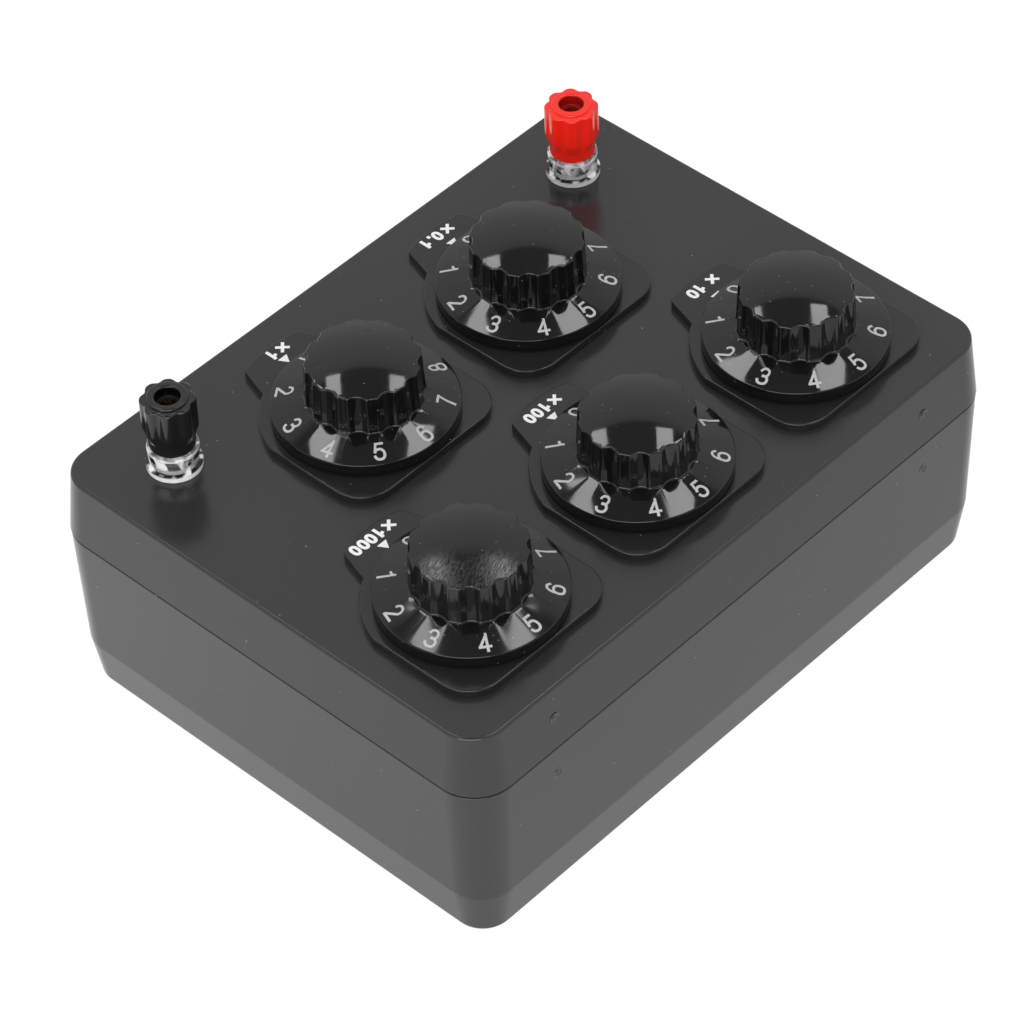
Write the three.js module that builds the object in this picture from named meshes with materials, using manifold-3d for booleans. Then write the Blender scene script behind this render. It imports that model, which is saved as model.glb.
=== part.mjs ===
// Decade resistance box: a two-part moulded case, five skirted dials wired in series, two binding posts.
// Millimetres, +Z up. The origin is the centre of the underside. +X points to the black post's side,
// and the labels are read from the -Y side.

import * as THREE from 'three';
import { mergeVertices } from 'three/addons/utils/BufferGeometryUtils.js';
import Module from 'manifold-3d';

const wasm = await Module();
wasm.setup();

const fullTurn = 2 * Math.PI;
const fullTurnDegrees = 360;
const rearDegrees = 90;
const frontDegrees = -90;

// Clearances shared by all fits
const fitClearance = 0.3;
const cutOverrun = 1;
const weldOverlap = 0.5;

// Case
const caseHeight = 63.3;
const caseCornerRadius = 8.6;

// Layout of the top: free strips between the index plates, from them to the edges, and the posts' places
const dialSpacing = 7.2;
const rowSpacing = 4.6;
const sideMargin = 8.2;
const frontMargin = 9.1;
const rearMargin = 8.5;
const postSideMargin = 19.3;
const postFrontMargin = 18.6;

// Lid
const lidHeight = 16.5;
const lidFlare = 1.7;
const lidWall = 2.5;
const lidTopThickness = 3;
const lidEdgeRadius = 1;

// Base
const seamGap = 0.3;
const seamInset = 0.15;
const baseWall = 3;
const baseFloor = 3;
const baseBreakHeight = 12.5;
const baseBreakInset = 1;
const baseFootInset = 1.9;
const baseFootRadius = 1.2;
const lipHeight = 2.5;
const lipThickness = 1.2;

// Case screws, driven from below into the lid's bosses
const screwInset = 8;
const screwShankRadius = 1.5;
const screwGripLength = 10;
const screwBossDepth = 8;
const screwHeadRadius = 3.1;
const screwHeadTopShare = 0.7;
const screwHeadHeight = 2.4;
const screwCrossLength = 3.6;
const screwCrossWidth = 0.9;
const screwCrossDepth = 1.4;
const screwPillarWall = 1.3;
const screwBossWall = 2.7;

// Dial knob
const knobRimRadius = 21.4;
const knobRunningGap = 0.4;
const knobSkirtThickness = 1.4;
const knobRimRecess = 1.1;
const knobRimEdge = 0.4;
const knobRimWall = 2;
const knobSkirtRise = 2;
const knobHubWall = 2;
const gripRadius = 13.3;
const gripHeight = 10.5;
const gripEdgeRadius = 0.9;
const gripDomeHeight = 1.8;
const gripDomeShares = [0.6, 0.2];
const gripWall = 2;
const gripCrownThickness = 3;
const fluteCount = 12;
const fluteRadius = 3;
const fluteDepth = 0.8;
const flutePhaseDegrees = 14;

// Index plate under each dial, and the nut that clamps it to the lid
const plateThickness = 2;
const plateSideMargin = 1.8;
const plateRearMargin = 0.3;
const plateFrontBulge = 1;
const plateCornerRadius = 8.8;
const plateTabLength = 7;
const plateTabRootHalfWidth = 11.5;
const plateTabTipHalfWidth = 8.9;
const plateTabCornerRadius = 3;
const plateTabSmallCornerRadius = 1;
const plateBossWall = 2.2;
const plateBossProjection = 1.5;
const plateNutWall = 2.5;
const plateNutThickness = 2.5;

// Spindle
const spindleRadius = 3;
const spindleEngagement = 9;
const spindleFlatDepth = 0.6;
const spindleCollarStep = 1.5;
const spindleCollarThickness = 1.2;
const spindleJournalStep = 1;
const tipChamfer = 0.5;

// Wiper: a hub on the spindle with a leaf that reaches the studs
const wiperHubWall = 2;
const wiperHubHeight = 3.6;
const wiperLeafThickness = 0.8;
const wiperRootHalfWidth = 3;
const wiperTipRadius = 1.7;
const wiperFootRadius = 1.3;
const wiperFootHeight = 0.7;

// Contact deck: a round board on three pillars, with ten studs in a ring and two solder tags
const positionCount = 10;
const deckInset = 3.2;
const deckThickness = 2.5;
const deckPillarCount = 3;
const deckPillarRadius = 2.8;
const contactInset = 5;
const contactRadius = 2;
const contactHeight = 1.5;
const tagRadius = 1;
const tagInset = 1.6;
const tagLength = 5;

// Resistor chain: nine wound cards on one lead ring
const cardWidth = 6;
const cardThickness = 2.4;
const cardLength = 14;
const leadRingWidth = 0.8;
const leadRingThickness = 0.6;

// Binding post stud, its nut and the washer under the lid
const studRadius = 2;
const studFlangeStep = 1.8;
const studFlangeThickness = 1;
const studThreadLength = 5.6;
const studTailLength = 10;
const studHoleRadius = 0.9;
const studHoleHeight = 1.9;
const washerLap = 2.1;
const washerThickness = 1.5;
const postNutWall = 1.5;
const postNutThickness = 3;

// Clear collar round the stud
const collarHeight = 6.2;
const collarRimWall = 1.85;
const collarWaistInset = 0.2;
const collarFlangeLap = 0.5;
const collarFlangeHeight = 1.5;
const collarNoseWall = 1.1;
const collarNoseLength = 2.6;

// Binding post cap and the brass insert that it turns on
const insertWall = 1.6;
const insertLength = 8.5;
const capGap = 0.35;
const capLength = 13.5;
const capWall = 1.45;
const capBarrelLength = 3.2;
const capShoulderLength = 2;
const capLobeStep = 1;
const capLobeCount = 8;
const capLobeSharpness = 3;
const capValleyDepth = 0.75;
const capEdgeInset = 0.4;
const capMouthRadius = 3.15;
const capRingWall = 1.55;
const capRingHeight = 0.6;

// Link wires between the tags and the posts
const linkRadius = 0.8;
const linkDrop = 3;

// Facet counts
const hexagonSides = 6;
const cornerSteps = 4;
const edgeSteps = 2;
const arcSteps = 3;
const largeRound = 28;
const mediumRound = 16;
const smallRound = 8;
const tinyRound = 6;
const fluteSteps = 3;
const stepsPerCapLobe = 4;

// Sizes that follow from these, seen from above
const plateHalfWidth = knobRimRadius + plateSideMargin;
const plateRearReach = knobRimRadius + plateRearMargin;
const plateRoundRadius = plateHalfWidth + plateFrontBulge;
const plateTabRadius = plateRoundRadius + plateTabLength;
const dialPitch = 2 * plateHalfWidth + dialSpacing;
const caseLength = 2 * (dialPitch + plateHalfWidth + sideMargin);
const caseWidth = frontMargin + rearMargin + rowSpacing + 2 * (plateTabRadius + plateRearReach);
const frontRowY = frontMargin + plateTabRadius - caseWidth / 2;
const rearRowY = caseWidth / 2 - rearMargin - plateRearReach;
const postX = caseLength / 2 - postSideMargin;
const postY = postFrontMargin - caseWidth / 2;
const screwX = caseLength / 2 - screwInset;
const screwY = caseWidth / 2 - screwInset;
const deckRadius = plateHalfWidth - deckInset;
const contactCircle = deckRadius - contactInset;
const tagCircle = deckRadius - tagInset;
const spindleBoreRadius = spindleRadius + fitClearance;
const plateBossRadius = spindleBoreRadius + plateBossWall;
const plateNutBoreRadius = plateBossRadius + fitClearance;
const studBoreRadius = studRadius + fitClearance;
const studFlangeRadius = studRadius + studFlangeStep;
const collarNoseRadius = studBoreRadius + collarNoseWall;
const collarRecessRadius = studFlangeRadius + fitClearance;
const collarRimRadius = collarRecessRadius + collarRimWall;
const insertRadius = studRadius + insertWall;
const capSocketRadius = insertRadius + fitClearance;
const capBarrelRadius = capSocketRadius + capWall;
const capLobeRadius = capBarrelRadius + capLobeStep;

// Heights of the case, measured from the surface that it stands on
const baseHeight = caseHeight - lidHeight - seamGap;
const screwSeat = baseHeight - screwGripLength;

// Heights of the dials and posts, measured from the lid's top face, downwards negative
const knobBottom = plateThickness + knobRunningGap;
const knobRimTop = knobBottom + knobRimRecess + knobSkirtThickness;
const skirtTop = knobRimTop + knobSkirtRise;
const gripTop = skirtTop + gripHeight;
const spindleTop = knobBottom + spindleEngagement;
const lidUnderside = -lidTopThickness;
const plateBossEnd = lidUnderside - plateNutThickness - plateBossProjection;
const spindleCollarTop = plateBossEnd - fitClearance;
const spindleCollarEnd = spindleCollarTop - spindleCollarThickness;
const wiperTop = spindleCollarEnd - fitClearance;
const wiperBottom = wiperTop - wiperHubHeight;
const contactTop = wiperBottom - wiperFootHeight - fitClearance;
const deckTop = contactTop - contactHeight;
const deckBottom = deckTop - deckThickness;
const tagEnd = deckBottom - tagLength;
const leadRingTop = deckBottom - fitClearance;
const leadRingBottom = leadRingTop - leadRingThickness;
const cardEnd = leadRingBottom - cardLength;
const studFlangeTop = collarHeight + fitClearance;
const studFlangeBottom = studFlangeTop - studFlangeThickness;
const insertBottom = studFlangeTop + fitClearance;
const insertTop = insertBottom + insertLength;
const capBottom = collarHeight + capGap;
const capTop = capBottom + capLength;
const postNutTop = lidUnderside - washerThickness;
const studBottom = postNutTop - studTailLength;

// Materials
const plastic = (color, roughness) => new THREE.MeshStandardMaterial({ color, roughness, metalness: 0 });
const metal = (color, roughness) => new THREE.MeshStandardMaterial({ color, roughness, metalness: 1 });
const caseBlack = plastic(0x3a3a3b, 0.5);
const plateBlack = plastic(0x1c1c1d, 0.3);
const knobBlack = plastic(0x0d0d0e, 0.15);
const capRed = plastic(0xd9201a, 0.3);
const capBlack = plastic(0x151516, 0.3);
const clearPlastic = new THREE.MeshStandardMaterial({
  color: 0xf4f6f7, roughness: 0.05, metalness: 0, transparent: true, opacity: 0.35,
});
const boardBrown = plastic(0x6b4a2a, 0.6);
const windingGreen = plastic(0x3f5f4a, 0.5);
const washerGrey = plastic(0x2a2a2b, 0.6);
const linkYellow = plastic(0xc9a227, 0.5);
const brass = metal(0xb8964a, 0.3);
const steel = metal(0xb9bcc0, 0.35);

// The five decades in the order in which they are wired. Each has its column as a share of the dial
// pitch, its row, and the digit that it shows at its plate's mark.
const decades = [
  { name: 'tenths', columnShare: -0.5, y: frontRowY, digit: 0 },
  { name: 'units', columnShare: 0.5, y: frontRowY, digit: 1 },
  { name: 'tens', columnShare: -1, y: rearRowY, digit: 0 },
  { name: 'hundreds', columnShare: 0, y: rearRowY, digit: 0 },
  { name: 'thousands', columnShare: 1, y: rearRowY, digit: 0 },
].map((decade) => ({ ...decade, x: decade.columnShare * dialPitch }));

const posts = [
  { name: 'red', x: -postX, capMaterial: capRed },
  { name: 'black', x: postX, capMaterial: capBlack },
];

const screwPlaces = [[screwX, screwY], [-screwX, screwY], [-screwX, -screwY], [screwX, -screwY]];

// A closed manifold body from a three.js geometry
function solidOf(geometry) {
  const bare = geometry.index ? geometry.clone() : geometry;
  bare.deleteAttribute('normal');
  bare.deleteAttribute('uv');
  const merged = mergeVertices(bare);
  const corners = merged.index.array;
  const kept = [];
  for (let at = 0; at < corners.length; at += 3) {
    const [a, b, c] = corners.slice(at, at + 3);
    if (a !== b && b !== c && c !== a) {
      kept.push(a, b, c);
    }
  }
  return new wasm.Manifold(new wasm.Mesh({
    numProp: 3,
    vertProperties: new Float32Array(merged.attributes.position.array),
    triVerts: new Uint32Array(kept),
  }));
}

// The drawable geometry of a manifold body
function geometryOf(solid) {
  const mesh = solid.getMesh();
  const geometry = new THREE.BufferGeometry();
  geometry.setAttribute('position', new THREE.BufferAttribute(new Float32Array(mesh.vertProperties), 3));
  geometry.setIndex(new THREE.BufferAttribute(new Uint32Array(mesh.triVerts), 1));
  geometry.computeVertexNormals();
  return geometry;
}

// All bodies of a list joined into one
function weld(solids) {
  return solids.reduce((whole, next) => whole.add(next));
}

// A body with every tool of a list cut away
function cut(solid, tools) {
  return tools.reduce((rest, tool) => rest.subtract(tool), solid);
}

// A body turned about Z from [radius, height] points, which start and end on the axis or close
function revolve(profile, segments) {
  const points = profile.map(([radius, height]) => new THREE.Vector2(radius, height));
  return solidOf(new THREE.LatheGeometry(points, segments).rotateX(fullTurn / 4));
}

// A round bar between two heights, its centre at (x, y)
function bar(radius, bottom, top, segments, x = 0, y = 0) {
  const geometry = new THREE.CylinderGeometry(radius, radius, top - bottom, segments);
  return solidOf(geometry.rotateX(fullTurn / 4).translate(x, y, (bottom + top) / 2));
}

// A rectangular bar between two heights, turned by an angle, its centre at (x, y)
function block(sizeX, sizeY, bottom, top, x = 0, y = 0, angle = 0) {
  const geometry = new THREE.BoxGeometry(sizeX, sizeY, top - bottom).rotateZ(angle);
  return solidOf(geometry.translate(x, y, (bottom + top) / 2));
}

// A plate cut to a flat shape, between two heights
function platework(shape, bottom, top, curveSegments) {
  const depth = top - bottom;
  const geometry = new THREE.ExtrudeGeometry(shape, { depth, bevelEnabled: false, curveSegments });
  return solidOf(geometry.translate(0, 0, bottom));
}

// A closed skin over rings of points of one count, each { outline, z }, from the lowest to the highest
function loft(rings) {
  const count = rings[0].outline.length;
  const positions = rings.flatMap(({ outline, z }) => outline.flatMap((point) => [point.x, point.y, z]));
  const index = [];
  for (let ring = 0; ring + 1 < rings.length; ring += 1) {
    for (let at = 0; at < count; at += 1) {
      const next = (at + 1) % count;
      const low = ring * count;
      const high = low + count;
      index.push(low + at, low + next, high + next, low + at, high + next, high + at);
    }
  }
  const last = (rings.length - 1) * count;
  for (const [a, b, c] of THREE.ShapeUtils.triangulateShape(rings[0].outline, [])) {
    index.push(c, b, a);
  }
  for (const [a, b, c] of THREE.ShapeUtils.triangulateShape(rings.at(-1).outline, [])) {
    index.push(last + a, last + b, last + c);
  }
  const geometry = new THREE.BufferGeometry();
  geometry.setAttribute('position', new THREE.Float32BufferAttribute(positions, 3));
  geometry.setIndex(index);
  return solidOf(geometry);
}

// A place on a circle: radius, and degrees anticlockwise from +X
function onCircle(radius, degrees) {
  const angle = THREE.MathUtils.degToRad(degrees);
  return [radius * Math.cos(angle), radius * Math.sin(angle)];
}

// The case's rounded outline, drawn in from the lid's top outline by an inset
function caseOutline(inset) {
  const radius = caseCornerRadius - inset;
  const reachX = caseLength / 2 - inset - radius;
  const reachY = caseWidth / 2 - inset - radius;
  const corners = [[reachX, reachY], [-reachX, reachY], [-reachX, -reachY], [reachX, -reachY]];
  return corners.flatMap(([x, y], quarter) => Array.from({ length: cornerSteps + 1 }, (_, step) => {
    const angle = (quarter + step / cornerSteps) * fullTurn / 4;
    return new THREE.Vector2(x + radius * Math.cos(angle), y + radius * Math.sin(angle));
  }));
}

// A moulding with the case's outline at each [height, inset] level
function moulding(levels) {
  return loft(levels.map(([z, inset]) => ({ z, outline: caseOutline(inset) })));
}

// Levels of a rounded edge from the side wall to a flat face, as [depth below the face, inset]
function roundedEdge(wallInset, radius) {
  return Array.from({ length: edgeSteps + 1 }, (_, step) => {
    const angle = step / edgeSteps * fullTurn / 4;
    return [radius * (1 - Math.sin(angle)), wallInset + radius * (1 - Math.cos(angle))];
  });
}

// Lid: a drafted, round-edged tray turned over, with holes for the dials and posts and four screw bosses
function lid() {
  const inset = (z) => lidFlare * z / lidHeight;
  const outside = moulding([
    [-lidHeight, inset(-lidHeight)],
    ...roundedEdge(inset(-lidEdgeRadius), lidEdgeRadius).map(([depth, edge]) => [-depth, edge]),
  ]);
  const hollow = moulding([-lidHeight - cutOverrun, lidUnderside].map((z) => [z, inset(z) + lidWall]));
  const bossRadius = screwShankRadius + screwBossWall;
  const bosses = screwPlaces.map(([x, y]) => (
    bar(bossRadius, -lidHeight, lidUnderside + weldOverlap, smallRound, x, y)));
  const pilotTop = screwBossDepth + fitClearance - lidHeight;
  const pilots = screwPlaces.map(([x, y]) => (
    bar(screwShankRadius + fitClearance, -lidHeight - cutOverrun, pilotTop, smallRound, x, y)));
  const dialHoles = decades.map(({ x, y }) => (
    bar(plateBossRadius + fitClearance, lidUnderside - cutOverrun, cutOverrun, smallRound, x, y)));
  const postHoles = posts.map(({ x }) => (
    bar(collarNoseRadius + fitClearance, lidUnderside - cutOverrun, cutOverrun, mediumRound, x, postY)));
  return cut(weld([cut(outside, [hollow]), ...bosses]), [...pilots, ...dialHoles, ...postHoles]);
}

// Base: a tub with a break in its draft, an upstanding lip inside the lid and four counterbored pillars
function base() {
  const rimInset = seamInset - lidFlare;
  const breakInset = rimInset + baseBreakInset;
  const footInset = breakInset + baseFootInset;
  const inset = (z) => (z < baseBreakHeight
    ? THREE.MathUtils.mapLinear(z, 0, baseBreakHeight, footInset, breakInset)
    : THREE.MathUtils.mapLinear(z, baseBreakHeight, baseHeight, breakInset, rimInset));
  const outside = moulding([
    ...roundedEdge(inset(baseFootRadius), baseFootRadius).reverse(),
    [baseBreakHeight, breakInset],
    [baseHeight, rimInset],
  ]);
  const hollow = moulding([baseFloor, baseBreakHeight, baseHeight + cutOverrun]
    .map((z) => [z, inset(z) + baseWall]));
  const lidFlareAtLipTop = lidFlare * (1 - lipHeight / lidHeight);
  const lipInset = lidWall - lidFlareAtLipTop + fitClearance;
  const lipBottom = baseHeight - lipHeight;
  const lipTop = baseHeight + lipHeight - seamGap;
  const lipOutside = moulding([lipBottom, lipTop].map((z) => [z, lipInset]));
  const lipHollow = moulding([lipBottom - cutOverrun, lipTop + cutOverrun]
    .map((z) => [z, lipInset + lipThickness]));
  const boreRadius = screwHeadRadius + 2 * fitClearance;
  const pillarRadius = boreRadius + screwPillarWall;
  const pillars = screwPlaces.map(([x, y]) => (
    bar(pillarRadius, baseFloor / 2, baseHeight, smallRound, x, y)));
  const counterbores = screwPlaces.map(([x, y]) => (
    bar(boreRadius, -cutOverrun, screwSeat, mediumRound, x, y)));
  const shankHoles = screwPlaces.map(([x, y]) => (
    bar(screwShankRadius + fitClearance, screwSeat - cutOverrun, baseHeight + cutOverrun, smallRound, x, y)));
  const tub = weld([cut(outside, [hollow]), cut(lipOutside, [lipHollow]), ...pillars]);
  return cut(tub, [...counterbores, ...shankHoles]);
}

// Case screw: a pan head with a cross recess below its seat, and its shank above
function caseScrew() {
  const shankTop = screwGripLength + seamGap + screwBossDepth;
  const body = revolve([
    [0, -screwHeadHeight],
    [screwHeadRadius * screwHeadTopShare, -screwHeadHeight],
    [screwHeadRadius, -screwHeadHeight / 2],
    [screwHeadRadius, 0],
    [screwShankRadius, 0],
    [screwShankRadius, shankTop - screwShankRadius],
    [0, shankTop],
  ], smallRound);
  const crossEnd = screwCrossDepth - screwHeadHeight;
  const slots = [[screwCrossLength, screwCrossWidth], [screwCrossWidth, screwCrossLength]]
    .map(([sizeX, sizeY]) => block(sizeX, sizeY, -screwHeadHeight - cutOverrun, crossEnd));
  return cut(body, slots);
}

// Rounding of the label tab's corner towards -X, between the tab's straight side and its front arc
function tabCorner(radius) {
  const rootDepth = Math.sqrt(plateRoundRadius ** 2 - plateTabRootHalfWidth ** 2);
  const tipDepth = Math.sqrt(plateTabRadius ** 2 - plateTabTipHalfWidth ** 2);
  const lean = Math.atan2(plateTabRootHalfWidth - plateTabTipHalfWidth, tipDepth - rootDepth);
  const sideDistance = plateTabRootHalfWidth * Math.cos(lean) + rootDepth * Math.sin(lean);
  const start = fullTurn / 2 + lean;
  const end = start + Math.acos((sideDistance - radius) / (plateTabRadius - radius));
  const reach = plateTabRadius - radius;
  return { x: reach * Math.cos(end), y: reach * Math.sin(end), start, end };
}

// Flat outline of an index plate: round towards the reader, with a label tab, and square at the back
function plateShape() {
  const shape = new THREE.Shape();
  const sideAngle = Math.acos(plateHalfWidth / plateRoundRadius);
  const rootAngle = Math.asin(plateTabRootHalfWidth / plateRoundRadius);
  const front = THREE.MathUtils.degToRad(frontDegrees);
  const mirrored = (angle) => 2 * front - angle;
  const first = tabCorner(plateTabCornerRadius);
  const last = tabCorner(plateTabSmallCornerRadius);
  const cornerX = plateHalfWidth - plateCornerRadius;
  const cornerY = plateRearReach - plateCornerRadius;
  shape.absarc(0, 0, plateRoundRadius, sideAngle - fullTurn / 2, front - rootAngle, false);
  shape.absarc(first.x, first.y, plateTabCornerRadius, first.start, first.end, false);
  shape.absarc(0, 0, plateTabRadius, first.end, mirrored(last.end), false);
  shape.absarc(-last.x, last.y, plateTabSmallCornerRadius, mirrored(last.end), mirrored(last.start), false);
  shape.absarc(0, 0, plateRoundRadius, front + rootAngle, -sideAngle, false);
  shape.absarc(cornerX, cornerY, plateCornerRadius, 0, fullTurn / 4, false);
  shape.absarc(-cornerX, cornerY, plateCornerRadius, fullTurn / 4, fullTurn / 2, false);
  return shape;
}

// Index plate: the flat plate and the threaded boss that is the spindle's bearing
function indexPlate() {
  const plate = platework(plateShape(), 0, plateThickness, arcSteps);
  const boss = bar(plateBossRadius, plateBossEnd, plateThickness / 2, smallRound);
  const bore = bar(spindleBoreRadius, plateBossEnd - cutOverrun, plateThickness + cutOverrun, smallRound);
  return cut(weld([plate, boss]), [bore]);
}

// Hexagon nut round a bore, its upper face at height zero
function hexagonNut(boreRadius, wall, thickness) {
  const cornerRadius = (boreRadius + wall) / Math.cos(fullTurn / 2 / hexagonSides);
  const nut = bar(cornerRadius, -thickness, 0, hexagonSides);
  return cut(nut, [bar(boreRadius, -thickness - cutOverrun, cutOverrun, smallRound)]);
}

// Ring of points round the fluted grip, scaled by a share: concave flutes, with a flat land between them
function flutedOutline(share) {
  const cutterDistance = gripRadius - fluteDepth + fluteRadius;
  const cutterCosine = (cutterDistance ** 2 + fluteRadius ** 2 - gripRadius ** 2)
    / (2 * cutterDistance * fluteRadius);
  const cutterSweep = Math.acos(cutterCosine);
  return Array.from({ length: fluteCount }, (_, flute) => {
    const angle = THREE.MathUtils.degToRad(flutePhaseDegrees) + flute / fluteCount * fullTurn;
    const cutter = new THREE.Vector2(Math.cos(angle), Math.sin(angle)).multiplyScalar(cutterDistance);
    return Array.from({ length: fluteSteps + 1 }, (_, step) => {
      const sweep = angle + fullTurn / 2 + cutterSweep * (1 - 2 * step / fluteSteps);
      const fromCutter = new THREE.Vector2(Math.cos(sweep), Math.sin(sweep)).multiplyScalar(fluteRadius);
      return fromCutter.add(cutter).multiplyScalar(share);
    });
  }).flat();
}

// Section of the spindle's flatted end, opened by a clearance
function flattedSection(clearance) {
  const radius = spindleRadius + clearance;
  const flatY = spindleRadius - spindleFlatDepth + clearance;
  const flatAngle = Math.asin(flatY / radius);
  const shape = new THREE.Shape();
  shape.absarc(0, 0, radius, fullTurn / 2 - flatAngle, fullTurn + flatAngle, false);
  return shape;
}

// Dial knob: a conical skirt that carries the digits, a fluted grip with a shallow dome, and a hub inside
function dialKnob() {
  const skirt = revolve([
    [0, knobBottom],
    [knobRimRadius, knobBottom],
    [knobRimRadius, knobRimTop - knobRimEdge],
    [knobRimRadius - knobRimEdge, knobRimTop],
    [gripRadius - fluteDepth, skirtTop],
    [0, skirtTop],
  ], largeRound);
  const shoulderShare = (gripRadius - gripEdgeRadius) / gripRadius;
  const grip = loft([
    { z: skirtTop - weldOverlap, outline: flutedOutline(1) },
    { z: gripTop - gripEdgeRadius, outline: flutedOutline(1) },
    { z: gripTop, outline: flutedOutline(shoulderShare) },
    ...gripDomeShares.map((share) => ({
      z: gripTop + gripDomeHeight * (1 - share ** 2),
      outline: flutedOutline(share * shoulderShare),
    })),
  ]);
  const hubRadius = spindleBoreRadius + knobHubWall;
  const rimInnerRadius = knobRimRadius - knobRimWall;
  const gripInnerRadius = gripRadius - fluteDepth - gripWall;
  const crownUnderside = gripTop + gripDomeHeight - gripCrownThickness;
  const hollow = revolve([
    [hubRadius, knobBottom - cutOverrun],
    [rimInnerRadius, knobBottom - cutOverrun],
    [rimInnerRadius, knobBottom + knobRimRecess],
    [gripInnerRadius, skirtTop - knobSkirtThickness],
    [gripInnerRadius, crownUnderside],
    [hubRadius, crownUnderside],
    [hubRadius, knobBottom - cutOverrun],
  ], smallRound);
  const bore = platework(
    flattedSection(fitClearance), knobBottom - cutOverrun, spindleTop + fitClearance, 2 * arcSteps);
  return cut(weld([skirt, grip]), [hollow, bore]);
}

// Spindle: a flatted top for the knob, a collar under the bearing boss and a journal in the deck
function spindle() {
  const shoulder = deckTop + fitClearance;
  const journalRadius = spindleRadius - spindleJournalStep;
  const collarRadius = spindleRadius + spindleCollarStep;
  const body = revolve([
    [0, deckBottom],
    [journalRadius, deckBottom],
    [journalRadius, shoulder],
    [spindleRadius, shoulder],
    [spindleRadius, spindleCollarEnd],
    [collarRadius, spindleCollarEnd],
    [collarRadius, spindleCollarTop],
    [spindleRadius, spindleCollarTop],
    [spindleRadius, spindleTop - tipChamfer],
    [spindleRadius - tipChamfer, spindleTop],
    [0, spindleTop],
  ], smallRound);
  const diameter = 2 * spindleRadius;
  const flatCutY = 2 * spindleRadius - spindleFlatDepth;
  return cut(body, [block(diameter, diameter, plateThickness, spindleTop + cutOverrun, 0, flatCutY)]);
}

// Wiper: hub, tapered leaf and the foot that rides over the studs, pointing to the rear
function wiper() {
  const hub = bar(spindleBoreRadius + wiperHubWall, wiperBottom, wiperTop, smallRound);
  const leafShape = new THREE.Shape();
  leafShape.moveTo(-wiperRootHalfWidth, 0);
  leafShape.lineTo(wiperRootHalfWidth, 0);
  leafShape.absarc(0, contactCircle, wiperTipRadius, 0, fullTurn / 2, false);
  const leaf = platework(leafShape, wiperBottom, wiperBottom + wiperLeafThickness, arcSteps);
  const foot = bar(
    wiperFootRadius, wiperBottom - wiperFootHeight, wiperBottom + wiperLeafThickness / 2, tinyRound,
    0, contactCircle);
  const bore = bar(spindleBoreRadius, wiperBottom - cutOverrun, wiperTop + cutOverrun, smallRound);
  return cut(weld([hub, leaf, foot]), [bore]);
}

const positionDegrees = fullTurnDegrees / positionCount;
const tagPlaces = [-1, 1].map((side) => onCircle(tagCircle, frontDegrees + side * positionDegrees));

// Contact deck: the board, its pillars up to the lid, the ring of studs and two solder tags below
function contactDeck() {
  const board = bar(deckRadius, deckBottom, deckTop, mediumRound);
  const pillarCircle = deckRadius + deckPillarRadius / 2;
  const pillars = Array.from({ length: deckPillarCount }, (_, at) => {
    const [x, y] = onCircle(pillarCircle, rearDegrees + at / deckPillarCount * fullTurnDegrees);
    return bar(deckPillarRadius, deckBottom, lidUnderside, tinyRound, x, y);
  });
  const contacts = Array.from({ length: positionCount }, (_, at) => {
    const [x, y] = onCircle(contactCircle, rearDegrees - at * positionDegrees);
    return bar(contactRadius, deckTop - weldOverlap, contactTop, tinyRound, x, y);
  });
  const tags = tagPlaces.map(([x, y]) => bar(tagRadius, tagEnd, deckBottom + weldOverlap, tinyRound, x, y));
  const journalHoleRadius = spindleRadius - spindleJournalStep + fitClearance;
  const journalHole = bar(journalHoleRadius, deckBottom - cutOverrun, deckTop + cutOverrun, smallRound);
  return cut(weld([board, ...pillars, ...contacts, ...tags]), [journalHole]);
}

// Resistor chain: a lead ring close under the board, open between the last stud and the first, and
// nine wound cards that hang from it on edge, one between each two studs
function resistorChain() {
  const gapCount = positionCount - 1;
  const start = THREE.MathUtils.degToRad(rearDegrees - gapCount * positionDegrees);
  const end = THREE.MathUtils.degToRad(rearDegrees);
  const ring = new THREE.Shape();
  ring.absarc(0, 0, contactCircle + leadRingWidth / 2, start, end, false);
  ring.absarc(0, 0, contactCircle - leadRingWidth / 2, end, start, true);
  const lead = platework(ring, leadRingBottom, leadRingTop, gapCount);
  const cards = Array.from({ length: gapCount }, (_, at) => {
    const degrees = rearDegrees - (at + 0.5) * positionDegrees;
    const [x, y] = onCircle(contactCircle, degrees);
    const top = leadRingBottom + leadRingThickness / 2;
    return block(cardWidth, cardThickness, cardEnd, top, x, y, THREE.MathUtils.degToRad(degrees));
  });
  return weld([lead, ...cards]);
}

// Binding post stud: threaded above its flange, with a cross hole for a bare wire, and plain below
function postStud() {
  const threadEnd = studFlangeTop + studThreadLength;
  const body = revolve([
    [0, studBottom],
    [studRadius, studBottom],
    [studRadius, studFlangeBottom],
    [studFlangeRadius, studFlangeBottom],
    [studFlangeRadius, studFlangeTop],
    [studRadius, studFlangeTop],
    [studRadius, threadEnd - tipChamfer],
    [studRadius - tipChamfer, threadEnd],
    [0, threadEnd],
  ], smallRound);
  const drillLength = 2 * (studRadius + cutOverrun);
  const drill = new THREE.CylinderGeometry(studHoleRadius, studHoleRadius, drillLength, tinyRound);
  return cut(body, [solidOf(drill.translate(0, 0, studFlangeTop + studHoleHeight))]);
}

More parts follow.
